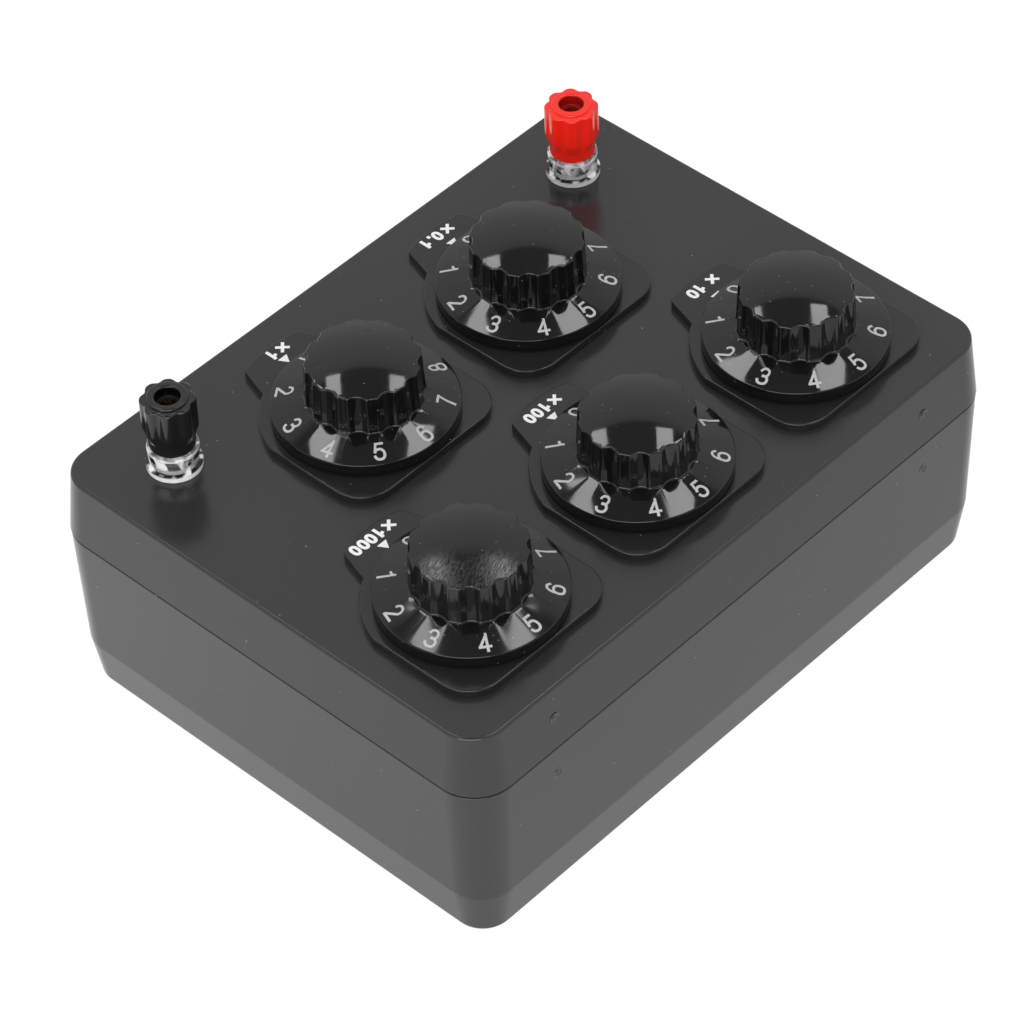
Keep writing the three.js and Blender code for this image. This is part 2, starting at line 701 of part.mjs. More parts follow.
// Clear collar: a flanged, waisted bush with a recess for the stud's flange and a nose in the lid's hole
function clearCollar() {
  const waistRadius = collarRimRadius - collarWaistInset;
  const flangeRadius = collarRimRadius + collarFlangeLap;
  return revolve([
    [studBoreRadius, -collarNoseLength],
    [collarNoseRadius, -collarNoseLength],
    [collarNoseRadius, 0],
    [flangeRadius, 0],
    [flangeRadius, collarFlangeHeight],
    [waistRadius, collarFlangeHeight + collarFlangeLap],
    [collarRimRadius, collarHeight],
    [collarRecessRadius, collarHeight],
    [collarRecessRadius, studFlangeBottom],
    [studBoreRadius, studFlangeBottom],
    [studBoreRadius, -collarNoseLength],
  ], mediumRound);
}

// Insulating washer under the lid, its upper face at height zero
function insulatingWasher() {
  const disc = bar(collarNoseRadius + washerLap, -washerThickness, 0, smallRound);
  return cut(disc, [bar(studBoreRadius, -washerThickness - cutOverrun, cutOverrun, smallRound)]);
}

// Ring of points round the cap: broad lobes with narrow valleys of a given depth
function lobedOutline(radius, valleyDepth) {
  const count = capLobeCount * stepsPerCapLobe;
  return Array.from({ length: count }, (_, at) => {
    const angle = at / count * fullTurn;
    const valley = Math.abs(Math.sin(capLobeCount / 2 * angle)) ** capLobeSharpness * valleyDepth;
    return new THREE.Vector2(Math.cos(angle), Math.sin(angle)).multiplyScalar(radius - valley);
  });
}

// Post cap: a round barrel that opens out into lobes, with a raised ring round its plug mouth
function postCap() {
  const barrelEnd = capBottom + capBarrelLength;
  const ringTop = capTop + capRingHeight;
  const outside = loft([
    { z: capBottom, outline: lobedOutline(capBarrelRadius, 0) },
    { z: barrelEnd, outline: lobedOutline(capBarrelRadius, 0) },
    { z: barrelEnd + capShoulderLength, outline: lobedOutline(capLobeRadius, capValleyDepth) },
    { z: capTop - capEdgeInset, outline: lobedOutline(capLobeRadius, capValleyDepth) },
    { z: capTop, outline: lobedOutline(capLobeRadius - capEdgeInset, capValleyDepth) },
  ]);
  const ring = bar(capMouthRadius + capRingWall, capTop - weldOverlap, ringTop, mediumRound);
  const socket = bar(capSocketRadius, capBottom - cutOverrun, insertTop + fitClearance, mediumRound);
  const mouth = bar(capMouthRadius, insertTop, ringTop + cutOverrun, mediumRound);
  return cut(weld([outside, ring]), [socket, mouth]);
}

// Brass insert inside the cap, threaded on the stud
function capInsert() {
  const tube = bar(insertRadius, insertBottom, insertTop, smallRound);
  return cut(tube, [bar(studBoreRadius, insertBottom - cutOverrun, insertTop + cutOverrun, smallRound)]);
}

// Link wire between two terminals' lower ends: a leg down from each, and a run across below the cards
function linkWire(from, to) {
  const low = cardEnd - linkDrop;
  const legs = [from, to].map(({ x, y, z }) => bar(linkRadius, low - linkRadius, z, tinyRound, x, y));
  const run = new THREE.Vector2(to.x - from.x, to.y - from.y);
  const across = new THREE.CylinderGeometry(linkRadius, linkRadius, run.length(), tinyRound)
    .rotateZ(run.angle() - fullTurn / 4)
    .translate((from.x + to.x) / 2, (from.y + to.y) / 2, low);
  return weld([...legs, solidOf(across)]);
}

const model = new THREE.Group();

// A named mesh of a body, put into a group
function addPiece(group, name, solid, material) {
  const mesh = new THREE.Mesh(geometryOf(solid), material);
  mesh.name = name;
  group.add(mesh);
  return mesh;
}

// A group of the model that stands at a place
function addGroup(x, y, z) {
  const group = new THREE.Group();
  group.position.set(x, y, z);
  model.add(group);
  return group;
}

addPiece(model, 'base', base(), caseBlack);
addPiece(addGroup(0, 0, caseHeight), 'lid', lid(), caseBlack);
screwPlaces.forEach(([x, y], at) => {
  addPiece(addGroup(x, y, screwSeat), `case_screw_${at + 1}`, caseScrew(), steel);
});

for (const { name, x, y, digit } of decades) {
  const dial = addGroup(x, y, caseHeight);
  const plateNut = hexagonNut(plateNutBoreRadius, plateNutWall, plateNutThickness);
  addPiece(dial, `index_plate_${name}`, indexPlate(), plateBlack);
  addPiece(dial, `plate_nut_${name}`, plateNut, brass).position.z = lidUnderside;
  addPiece(dial, `contact_deck_${name}`, contactDeck(), boardBrown);
  addPiece(dial, `resistor_chain_${name}`, resistorChain(), windingGreen);
  const turning = new THREE.Group();
  turning.rotation.z = -THREE.MathUtils.degToRad(digit * positionDegrees);
  dial.add(turning);
  addPiece(turning, `dial_knob_${name}`, dialKnob(), knobBlack);
  addPiece(turning, `spindle_${name}`, spindle(), steel);
  addPiece(turning, `wiper_${name}`, wiper(), brass);
}

for (const { name, x, capMaterial } of posts) {
  const post = addGroup(x, postY, caseHeight);
  const postNut = hexagonNut(studBoreRadius, postNutWall, postNutThickness);
  addPiece(post, `clear_collar_${name}`, clearCollar(), clearPlastic);
  addPiece(post, `post_stud_${name}`, postStud(), steel);
  addPiece(post, `insulating_washer_${name}`, insulatingWasher(), washerGrey).position.z = lidUnderside;
  addPiece(post, `post_nut_${name}`, postNut, steel).position.z = postNutTop;
  addPiece(post, `cap_insert_${name}`, capInsert(), brass);
  addPiece(post, `post_cap_${name}`, postCap(), capMaterial);
}

// The chain of links: red post, the five decades in order, black post
const postEnd = ({ x }) => new THREE.Vector3(x, postY, studBottom - fitClearance);
const tagEnds = ({ x, y }) => tagPlaces.map(([tagX, tagY]) => (
  new THREE.Vector3(x + tagX, y + tagY, tagEnd - fitClearance)));
const linkEnds = [postEnd(posts[0]), ...decades.flatMap(tagEnds), postEnd(posts[1])];
const wiring = addGroup(0, 0, caseHeight);
for (let at = 0; at < linkEnds.length; at += 2) {
  addPiece(wiring, `link_wire_${at / 2 + 1}`, linkWire(linkEnds[at], linkEnds[at + 1]), linkYellow);
}

export default model;
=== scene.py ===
import math

import bmesh
import bpy
import numpy as np
from mathutils import Matrix, Vector


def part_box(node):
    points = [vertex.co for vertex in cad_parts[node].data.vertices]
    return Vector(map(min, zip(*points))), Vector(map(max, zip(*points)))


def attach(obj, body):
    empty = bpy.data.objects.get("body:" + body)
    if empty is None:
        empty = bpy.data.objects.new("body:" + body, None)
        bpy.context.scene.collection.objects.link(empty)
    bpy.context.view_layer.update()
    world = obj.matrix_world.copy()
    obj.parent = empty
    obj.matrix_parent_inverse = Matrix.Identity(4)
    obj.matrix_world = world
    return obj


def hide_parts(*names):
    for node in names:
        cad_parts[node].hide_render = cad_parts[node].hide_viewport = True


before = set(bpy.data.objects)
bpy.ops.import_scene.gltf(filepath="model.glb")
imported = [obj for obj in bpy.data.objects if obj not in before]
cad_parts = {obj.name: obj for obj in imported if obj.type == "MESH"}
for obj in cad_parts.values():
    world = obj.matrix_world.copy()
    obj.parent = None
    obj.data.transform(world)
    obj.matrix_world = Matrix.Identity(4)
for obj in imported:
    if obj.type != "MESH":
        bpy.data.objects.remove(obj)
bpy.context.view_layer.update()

mm = 0.001
scene = bpy.context.scene

# The view
# A long lens looks down at about 45 degrees over the corner between the thousands dial and the long side
# that faces away from the reader, with the two posts at the far side.
lid_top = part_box("lid")[1].z
aim = Vector((27.5 * mm, 20.4 * mm, lid_top))
camera_distance = 1010.7 * mm
camera_azimuth, camera_elevation, camera_roll = (math.radians(angle) for angle in (44.74, 44.72, -2.66))
outward = Vector((
    math.cos(camera_elevation) * math.cos(camera_azimuth),
    math.cos(camera_elevation) * math.sin(camera_azimuth),
    math.sin(camera_elevation)))
camera = bpy.data.objects.new("camera", bpy.data.cameras.new("camera"))
camera.data.lens = 162.14
camera.data.sensor_width = 36
camera.data.shift_x, camera.data.shift_y = 0.00299, -0.00343
camera.data.clip_end = 20
camera_turn = outward.to_track_quat("Z", "Y").to_matrix() @ Matrix.Rotation(camera_roll, 3, "Z")
camera.matrix_world = Matrix.Translation(aim + outward * camera_distance) @ camera_turn.to_4x4()
scene.collection.objects.link(camera)
scene.camera = camera
scene.view_settings.view_transform = "Standard"


# Case material
# Both halves of the case are injection moulded in dark ABS: satin, with a fine even grain, faint flow marks
# and a few specks of dust.
def shader(name, color, roughness, **settings):
    """A principled material. Numbers that hold all over are set on the shader's own sockets."""
    material = bpy.data.materials.new(name)
    material.use_nodes = True
    surface = material.node_tree.nodes["Principled BSDF"]
    surface.inputs["Base Color"].default_value = (*color, 1)
    surface.inputs["Roughness"].default_value = roughness
    for socket, value in settings.items():
        surface.inputs[socket.replace("_", " ")].default_value = value
    material.diffuse_color = (*color, 1)
    return material


def add_node(material, kind, links=(), **settings):
    """A node of a material, with its properties or input values set and its inputs linked."""
    node = material.node_tree.nodes.new(kind)
    for key, value in settings.items():
        if hasattr(node, key):
            setattr(node, key, value)
        else:
            node.inputs[key.replace("_", " ")].default_value = value
    for socket, source in links:
        material.node_tree.links.new(source, node.inputs[socket])
    return node


def link_surface(material, socket, source):
    """An output that drives one socket of the material's principled shader."""
    surface = material.node_tree.nodes["Principled BSDF"]
    material.node_tree.links.new(source, surface.inputs[socket])


def noise(material, feature, detail=2, stretch=(1, 1, 1), centre=(0, 0, 0), turn=0):
    """Noise whose features have a real size, on a pattern that may be stretched, centred and turned."""
    place = add_node(material, "ShaderNodeTexCoord")
    mapping = add_node(material, "ShaderNodeMapping", [("Vector", place.outputs["Object"])])
    mapping.vector_type = "TEXTURE"
    mapping.inputs["Location"].default_value = centre
    mapping.inputs["Rotation"].default_value = (0, 0, turn)
    mapping.inputs["Scale"].default_value = stretch
    return add_node(
        material, "ShaderNodeTexNoise", [("Vector", mapping.outputs["Vector"])],
        Scale=1 / feature, Detail=detail)


def spread(material, source, low, high, start=0.3, end=0.7):
    """A number that runs from low to high as the source runs from start to end."""
    step = add_node(material, "ShaderNodeMapRange", [("Value", source)])
    step.inputs["From Min"].default_value = start
    step.inputs["From Max"].default_value = end
    step.inputs["To Min"].default_value = low
    step.inputs["To Max"].default_value = high
    return step.outputs["Result"]


def combine(material, operation, first, second):
    """What a Math node makes of two inputs, each a number or another node's output."""
    node = add_node(material, "ShaderNodeMath", operation=operation)
    for socket, value in zip(node.inputs, (first, second)):
        if isinstance(value, float):
            socket.default_value = value
        else:
            material.node_tree.links.new(value, socket)
    return node.outputs[0]


def tint(material, factor, first, second):
    """A colour that goes from the first to the second with a factor."""
    mix = add_node(material, "ShaderNodeMix", data_type="RGBA")
    mix.inputs["A"].default_value = (*first, 1)
    mix.inputs["B"].default_value = (*second, 1)
    material.node_tree.links.new(factor, mix.inputs["Factor"])
    return mix.outputs["Result"]


def grain(material, feature, height):
    """A bump of one feature size and height all over a material."""
    bump = add_node(material, "ShaderNodeBump", [("Height", noise(material, feature).outputs["Fac"])])
    bump.inputs["Distance"].default_value = height
    bump.inputs["Strength"].default_value = 1
    link_surface(material, "Normal", bump.outputs["Normal"])


dust_color = (0.4, 0.4, 0.38)
drift_size = 9 * mm
drift_fade = 0.06
speck_core = 0.6


def dust(material, color, spacing, size, cover):
    """Drifts of light dust specks over a colour, each where a cell's point lies close to the surface. Cover
    is the share of the drift noise above which there is dust."""
    place = add_node(material, "ShaderNodeTexCoord").outputs["Object"]
    cells = add_node(material, "ShaderNodeTexVoronoi", [("Vector", place)], Scale=1 / spacing)
    reach = size / spacing
    near = spread(material, cells.outputs["Distance"], 1, 0, start=speck_core * reach, end=reach)
    drift = noise(material, drift_size, detail=4).outputs["Fac"]
    drifted = spread(material, drift, 0, 1, start=cover, end=cover + drift_fade)
    speck = combine(material, "MULTIPLY", near, drifted)
    link_surface(material, "Base Color", tint(material, speck, color, dust_color))


def satin_moulding(name, color, roughness, roughness_range):
    """Moulded plastic: grain, cloudy gloss at the size of a hand print, and dust."""
    material = shader(name, color, roughness)
    cloud = noise(material, feature=25 * mm, detail=4)
    link_surface(material, "Roughness", spread(
        material, cloud.outputs["Fac"], roughness - roughness_range, roughness + roughness_range))
    dust(material, color, spacing=2.6 * mm, size=0.16 * mm, cover=0.55)
    grain(material, feature=0.35 * mm, height=0.004 * mm)
    return material


case_plastic = satin_moulding("case_plastic", (0.026, 0.026, 0.027), 0.19, 0.03)

# Case
# Lid and base are two drafted shells that meet at a seam about a quarter of the way down. The base breaks
# inwards near its foot, has an upstanding lip behind the seam, and four screw pillars rise inside it.
corner_radius = 8.6 * mm
corner_steps = 20
lid_height = 16.5 * mm
lid_flare = 1.7 * mm
lid_wall = 2.5 * mm
lid_thickness = 3 * mm
lid_edge = 0.7 * mm
seam_gap = 0.3 * mm
seam_inset = 0.15 * mm
seam_edge = 0.25 * mm
rim_drop = 0.15 * mm
break_height = 12.5 * mm
break_inset = 1 * mm
break_round = 4 * mm
foot_inset = 1.9 * mm
foot_edge = 1.2 * mm
base_wall = 3 * mm
lip_inset = 1.36 * mm
lip_thickness = 1.2 * mm
lip_height = 2.2 * mm
lip_edge = 0.2 * mm
screw_head = 2.4 * mm
flat_margin = 8 * mm
lid_size = (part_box("lid")[1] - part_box("lid")[0]).xy
half_case = np.array(lid_size) / 2 - lid_flare
rim_height = lid_top - lid_height - seam_gap - rim_drop


def eased(corners, steps=5, margin=0.2, least_bend=0.01):
    """A profile through [across, up, radius] corners, each rounded by an arc of its radius unless it hardly
    bends. A point before and after each arc, a margin of the radius off, keeps the faces beside it flat."""
    places = np.array([corner[:2] for corner in corners], float)
    points = [places[:1]]
    for before, place, after, (_, _, radius) in zip(places, places[1:], places[2:], corners[1:]):
        towards = [(end - place) / np.linalg.norm(end - place) for end in (before, after)]
        half = math.acos(np.clip(towards[0] @ towards[1], -1, 1)) / 2
        bend = math.pi - 2 * half
        if radius == 0 or bend < least_bend:
            points.append(place[None])
            continue
        centre = place + (towards[0] + towards[1]) / (2 * math.cos(half)) * radius / math.sin(half)
        start, end = (place + way * radius / math.tan(half) - centre for way in towards)
        share = np.linspace(0, 1, steps + 1)[:, None]
        arc = (np.sin((1 - share) * bend) * start + np.sin(share * bend) * end) / math.sin(bend)
        before_arc, after_arc = (way * margin * radius for way in towards)
        points.append(centre + np.concatenate([[start + before_arc], arc, [end + after_arc]]))
    points.append(places[-1:])
    return np.concatenate(points)


def case_outline(inset):
    """The lid's top outline drawn in by an inset: four quarter circles joined by straight sides."""
    radius = corner_radius - inset
    quarter = np.repeat(np.arange(4), corner_steps + 1)
    angle = (quarter + np.tile(np.linspace(0, 1, corner_steps + 1), 4)) * math.pi / 2
    signs = np.array([[1, 1], [-1, 1], [-1, -1], [1, -1]])[quarter]
    return signs * (half_case - inset - radius) + radius * np.stack([np.cos(angle), np.sin(angle)], 1)


def case_rings(profile):
    """The case's outline at each [inset, height] point of a profile."""
    return np.stack([
        np.column_stack([case_outline(inset), np.full(4 * (corner_steps + 1), height)])
        for inset, height in profile])


smooth_limit = math.radians(32)
merge_distance = 0.0005 * mm


def mesh_piece(name, points, faces):
    """An object at the origin with a closed mesh. Doubles are merged, faces point outwards, and the shading
    is smooth but at sharp edges."""
    mesh = bpy.data.meshes.new(name)
    mesh.from_pydata(points.tolist(), [], faces)
    shape = bmesh.new()
    shape.from_mesh(mesh)
    bmesh.ops.remove_doubles(shape, verts=shape.verts, dist=merge_distance)
    bmesh.ops.recalc_face_normals(shape, faces=shape.faces)
    shape.to_mesh(mesh)
    shape.free()
    mesh.shade_smooth()
    mesh.set_sharp_from_angle(angle=smooth_limit)
    piece = bpy.data.objects.new(name, mesh)
    scene.collection.objects.link(piece)
    return piece


def skin(name, rings, joined=False):
    """A closed mesh over rings of points: rings[i, j] is point j of ring i. Each ring is closed, neighbours
    share four-sided faces, and the two ends are joined to each other or filled."""
    count, around = rings.shape[:2]
    low = np.arange(count if joined else count - 1)[:, None] * around
    high = (low + around) % (count * around)
    here = np.arange(around)[None, :]
    after = (here + 1) % around
    faces = np.stack([low + here, low + after, high + after, high + here], -1).reshape(-1, 4).tolist()
    if not joined:
        faces += [list(range(around)), list(range((count - 1) * around, count * around))]
    return mesh_piece(name, rings.reshape(-1, 3), faces)


def revolved(name, profile, around=96, centre=(0, 0), joined=False):
    """A profile of [radius, height] points turned about a vertical axis through the centre."""
    angle = np.arange(around) / around * 2 * math.pi
    radius, height = np.asarray(profile).T
    x = centre[0] + radius[:, None] * np.cos(angle)
    y = centre[1] + radius[:, None] * np.sin(angle)
    return skin(name, np.stack([x, y, np.broadcast_to(height[:, None], x.shape)], -1), joined)


def join(name, pieces):
    """One object that holds the meshes of several, which are removed."""
    shape = bmesh.new()
    for piece in pieces:
        shape.from_mesh(piece.data)
        bpy.data.objects.remove(piece)
    mesh = bpy.data.meshes.new(name)
    shape.to_mesh(mesh)
    shape.free()
    mesh.shade_smooth()
    mesh.set_sharp_from_angle(angle=smooth_limit)
    whole = bpy.data.objects.new(name, mesh)
    scene.collection.objects.link(whole)
    return whole


def drill(piece, cutters):
    """The piece with the cutters' volume taken out of its mesh."""
    tool = join("cutters", cutters)
    modifier = piece.modifiers.new("drill", "BOOLEAN")
    modifier.operation, modifier.solver, modifier.object = "DIFFERENCE", "EXACT", tool
    depsgraph = bpy.context.evaluated_depsgraph_get()
    mesh = bpy.data.meshes.new_from_object(piece.evaluated_get(depsgraph))
    mesh.set_sharp_from_angle(angle=smooth_limit)
    piece.modifiers.clear()
    piece.data = mesh
    bpy.data.objects.remove(tool)


def fit(piece, body, slot, material, *nodes):
    """The piece takes its material, moves with a body and stands for the nodes named. The slot is not used.
    """
    piece.data.materials.clear()
    piece.data.materials.append(material)
    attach(piece, body)
    if nodes:
        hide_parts(*nodes)


def centre_of(node):
    """The middle of a node's box, seen from above."""
    low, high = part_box(node)
    return np.array(((low + high) / 2).xy)


decades = ("tenths", "units", "tens", "hundreds", "thousands")
dial_centre = {name: centre_of(f"plate_nut_{name}") for name in decades}
post_centre = {name: centre_of(f"post_nut_{name}") for name in ("red", "black")}
plate_bore = 5.9 * mm
collar_bore = 3.75 * mm


def lid_inset(depth):
    """How far the lid's wall is drawn in from its top outline at a depth below the top."""
    return -lid_flare * depth / lid_height


lid = skin("lid_shell", case_rings([
    (across, lid_top + up) for across, up in eased([
        (flat_margin, 0, 0),
        (0, 0, lid_edge),
        (lid_inset(lid_height), -lid_height, seam_edge),
        (lid_inset(lid_height) + lid_wall, -lid_height, seam_edge),
        (lid_inset(lid_thickness) + lid_wall, -lid_thickness, lid_edge),
        (flat_margin, -lid_thickness, 0),
    ])]))
drill(lid, [
    revolved("hole", [(radius, lid_top - 2 * lid_thickness), (radius, lid_top + lid_thickness)], 48, centre)
    for radius, centres in ((plate_bore, dial_centre), (collar_bore, post_centre))
    for centre in centres.values()])
fit(lid, "root", "case_black", case_plastic, "lid")

rim_inset = seam_inset - lid_flare
wall_break = rim_inset + break_inset
base = skin("base_shell", case_rings(eased([
    (flat_margin, 0, 0),
    (wall_break + foot_inset, 0, foot_edge),
    (wall_break, break_height, break_round),
    (rim_inset, rim_height, seam_edge),
    (lip_inset, rim_height, 0),
    (lip_inset, rim_height + lip_height, lip_edge),
    (lip_inset + lip_thickness, rim_height + lip_height, lip_edge),
    (rim_inset + base_wall + lip_thickness, rim_height - lip_height, 0),
    (wall_break + base_wall, break_height, 0),
    (wall_break + foot_inset + base_wall, base_wall, lid_edge),
    (flat_margin, base_wall, 0),
])))
screw_centres = [centre_of(f"case_screw_{number}") for number in range(1, 5)]
screw_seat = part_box("case_screw_1")[0].z + screw_head
counterbore = 3.7 * mm
shank_hole = 1.8 * mm
pillar_radius = 5 * mm
drill(base, [
    revolved("hole", [(counterbore, -base_wall), (counterbore, 2 * base_wall)], 48, centre)
    for centre in screw_centres])
pillars = [revolved("pillar", eased([
    (counterbore, 0.5 * base_wall, 0),
    (counterbore, screw_seat, 0),
    (shank_hole, screw_seat, 0),
    (shank_hole, rim_height - seam_edge, 0),
    (pillar_radius, rim_height - seam_edge, 0),
    (pillar_radius, 0.5 * base_wall, 0),
]), 48, centre, joined=True) for centre in screw_centres]
base = join("base_shell", [base, *pillars])
fit(base, "root", "case_black", case_plastic, "base")

# Gate marks
# The long side away from the reader has four small round marks where the plastic entered the mould, two on
# the lid and two on the base: shallow raised rings with a torn middle.
gate_x = (61.6 * mm, -61.6 * mm)
gate_depths = {"lid": 8.2 * mm, "base": 24.6 * mm}
gate_radius = 1.5 * mm
gate_relief = 0.12 * mm
gate_profile = np.array([
    (0, 0.3), (0.35, 0.9), (0.5, 0.1), (0.8, 1), (1, 0), (1, -1), (0, -1)]) * (gate_radius, gate_relief)


def wall_place(half, depth):
    """How far out a case side stands at a depth below the lid's top."""
    if half == "lid":
        return half_case[1] - lid_inset(depth)
    share = (depth - lid_height) / (lid_top - lid_height - break_height)
    return half_case[1] - rim_inset - share * break_inset


gates = []
for half, depth in gate_depths.items():
    for x in gate_x:
        gate = revolved("gate", gate_profile, 32)
        stand = Matrix.Translation((x, wall_place(half, depth), lid_top - depth))
        gate.data.transform(stand @ Matrix.Rotation(-math.pi / 2, 4, "X"))
        gates.append(gate)
gate_marks = join("gate_marks", gates)
fit(gate_marks, "root", "case_black", case_plastic)

# Index plates
# Under each dial lies a 2 mm moulded plate: square corners at the back, round at the front, with a tab
# that carries the multiplier and a small arrow, both printed in white. Its boss goes through the lid.
plate_bottom, plate_top = lid_top, lid_top + 2 * mm
plate_half_width = 23.2 * mm
plate_rear = 21.7 * mm
plate_round = 24.2 * mm
plate_corner = 8.8 * mm
tab_radius = 31.2 * mm
tab_root, tab_tip = 11.5 * mm, 8.9 * mm
tab_corners = (2.4 * mm, 1 * mm)
plate_edge = 0.3 * mm
plate_face_margin = 0.8 * mm
plate_boss = 5.5 * mm
boss_overlap = 0.5 * mm
plate_boss_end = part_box("index_plate_hundreds")[0].z
spindle_bore = 3.3 * mm
print_height = 0.03 * mm
arc_steps = 14

plate_plastic = satin_moulding("plate_plastic", (0.015, 0.015, 0.0155), 0.13, 0.03)
white_print = shader("white_print", (0.93, 0.93, 0.92), 0.5)
link_surface(white_print, "Roughness", spread(
    white_print, noise(white_print, 0.5 * mm).outputs["Fac"], 0.4, 0.6))


def arc(centre, radius, start, end):
    """Points of a circle's arc from one angle to another."""
    angle = np.linspace(start, end, arc_steps + 1)[:, None]
    return np.asarray(centre) + radius * np.concatenate([np.cos(angle), np.sin(angle)], 1)


def plate_outline(inset):
    """The plate's outline drawn in by an inset: arcs about its centre, about the tab's corners and about
    the rear corners, joined by straight lines. A tab side is a line at a distance from the centre, and it
    meets a circle where that distance is the circle's cosine."""
    front = -math.pi / 2
    rise = math.sqrt(plate_round ** 2 - tab_root ** 2) - math.sqrt(tab_radius ** 2 - tab_tip ** 2)
    lean = math.atan2(tab_root - tab_tip, -rise)
    normal = math.pi + lean
    offset = tab_root * math.cos(lean) + math.sqrt(plate_round ** 2 - tab_root ** 2) * math.sin(lean)
    side = math.acos(plate_half_width / plate_round)
    root = normal + math.acos((offset - inset) / (plate_round - inset)) - 2 * math.pi
    left, right = tab_corners
    ends = [
        normal + math.acos((offset - radius) / (tab_radius - radius)) - 2 * math.pi
        for radius in tab_corners]
    left_centre = (tab_radius - left) * np.array([math.cos(ends[0]), math.sin(ends[0])])
    right_centre = (tab_radius - right) * np.array([-math.cos(ends[1]), math.sin(ends[1])])
    corner = np.array([plate_half_width - plate_corner, plate_rear - plate_corner])
    return np.concatenate([
        arc((0, 0), plate_round - inset, side - math.pi, root),
        arc(left_centre, left - inset, normal - 2 * math.pi, ends[0]),
        arc((0, 0), tab_radius - inset, ends[0], 2 * front - ends[1]),
        arc(right_centre, right - inset, 2 * front - ends[1], 2 * front - normal + 2 * math.pi),
        arc((0, 0), plate_round - inset, 2 * front - root, -side),
        arc(corner, plate_corner - inset, 0, math.pi / 2),
        arc(corner * (-1, 1), plate_corner - inset, math.pi / 2, math.pi),
    ])


def plate_rings(profile, centre):
    """The plate's outline at each [inset, height] point of a profile."""
    return np.stack([
        np.column_stack([centre + plate_outline(inset), np.full(7 * (arc_steps + 1), height)])
        for inset, height in profile])


oval_step = 12
oval_powers = (0.85, 0.92)


def oval(x, y, wide, high, start, end):
    """Points of an oval's outline, with its centre, size and first and last angle in degrees. A power below
    one of the sine and cosine makes its sides straighter than an ellipse's."""
    angle = np.radians(np.linspace(start, end, max(4, round(abs(end - start) / oval_step) + 1)))
    circle = np.stack([np.cos(angle), np.sin(angle)], 1)
    return (x, y) + np.array([wide, high]) / 2 * np.sign(circle) * np.abs(circle) ** oval_powers


# The middle lines of the printed signs, each in a square of side one: closed loops, then open strokes.
loops = {
    "0": [oval(0, 0, 1, 1, 0, 360)],
    "8": [oval(0, 0.24, 0.84, 0.52, 0, 360), oval(0, -0.24, 1, 0.52, 0, 360)],
    "6": [oval(0, -0.19, 1, 0.62, 0, 360)],
    "9": [oval(0, 0.19, 1, 0.62, 0, 360)],
}
strokes = {
    "1": [[(0.16, 0.5), (0.16, -0.5)], [(-0.36, 0.2), (-0.02, 0.28), (0.14, 0.46)]],
    "2": [
        np.concatenate([oval(0, 0.21, 1, 0.58, 168, -28), [(-0.44, -0.42)]]),
        [(-0.5, -0.5), (0.5, -0.5)]],
    "3": [oval(0, 0.25, 0.92, 0.5, 165, -95), oval(0, -0.24, 1, 0.52, 95, -165)],
    "4": [[(0.2, 0.42), (-0.5, -0.24)], [(-0.5, -0.26), (0.5, -0.26)], [(0.2, 0.5), (0.2, -0.5)]],
    "5": [[(-0.32, 0.5), (0.46, 0.5)], [(-0.3, 0.5), (-0.42, 0.02)], oval(0, -0.17, 1, 0.66, 150, -160)],
    "6": [oval(0.06, 0, 1.12, 1, 180, 42)],
    "7": [[(-0.5, 0.5), (0.5, 0.5)], [(0.46, 0.48), (0.06, 0.02), (-0.14, -0.5)]],
    "9": [oval(-0.06, 0, 1.12, 1, 0, -138)],
    "×": [[(-0.5, -0.5), (0.5, 0.5)], [(-0.5, 0.5), (0.5, -0.5)]],
    ".": [[(0, -0.5), (0, -0.44)]],
}


sharpest_bend = 0.6
stroke_rise = 0.2


def ribbon(path, weight, closed):
    """A flat stroke along a path as rings of four corners: the path's point moved to both sides by half the
    weight, more where the path bends, below and above the print's middle."""
    path = np.asarray(path, float)
    ahead = np.roll(path, -1, 0) - path
    behind = np.roll(ahead, 1, 0)
    if not closed:
        ahead[-1], behind[0] = behind[-1], ahead[0]
    ahead, behind = (way / np.linalg.norm(way, axis=1)[:, None] for way in (ahead, behind))
    along = (ahead + behind) / np.linalg.norm(ahead + behind, axis=1)[:, None]
    if not closed:
        path = path + along * (np.arange(len(path)) == len(path) - 1)[:, None] * weight / 2
        path = path - along * (np.arange(len(path)) == 0)[:, None] * weight / 2
    reach = weight / 2 / np.maximum((ahead * along).sum(1), sharpest_bend)
    sideways = np.stack([-along[:, 1], along[:, 0]], 1) * reach[:, None]
    flat = np.stack([path - sideways, path + sideways, path + sideways, path - sideways], 1)
    out = np.broadcast_to(np.array([-1, -1, 1, 1]) * print_height, flat.shape[:2])
    return np.concatenate([flat, out[..., None]], -1)


def sign(character, size, weight, middle, place):
    """One printed sign as pieces: its strokes scaled to a size, moved to a middle and put on a surface by a
    rule that turns across, up and out into a place. Each stroke stands a little higher than the last."""
    inner = np.array(size) - weight
    pieces = []
    for paths, closed in ((loops, True), (strokes, False)):
        for path in paths.get(character, ()):
            flat = np.asarray(path, float) * inner
            rings = ribbon(flat[:-1] if closed else flat, weight, closed)
            across, up, out = np.moveaxis(rings, -1, 0)
            out = out * (1 + stroke_rise * len(pieces))
            pieces.append(skin("stroke", place(across + middle[0], up + middle[1], out), joined=closed))
    return pieces


def place_mesh(name, mesh, matrix):
    """An object at the origin that holds the mesh at a place."""
    mesh.transform(matrix)
    piece = bpy.data.objects.new(name, mesh)
    scene.collection.objects.link(piece)
    return piece


label_size = (2.25 * mm, 3.35 * mm)
label_weight = 0.79 * mm
times_size = (2.6 * mm, 2.6 * mm)
times_weight = 0.77 * mm
label_line = -28.3 * mm
arrow_half_width, arrow_length = 1.4 * mm, 2.4 * mm

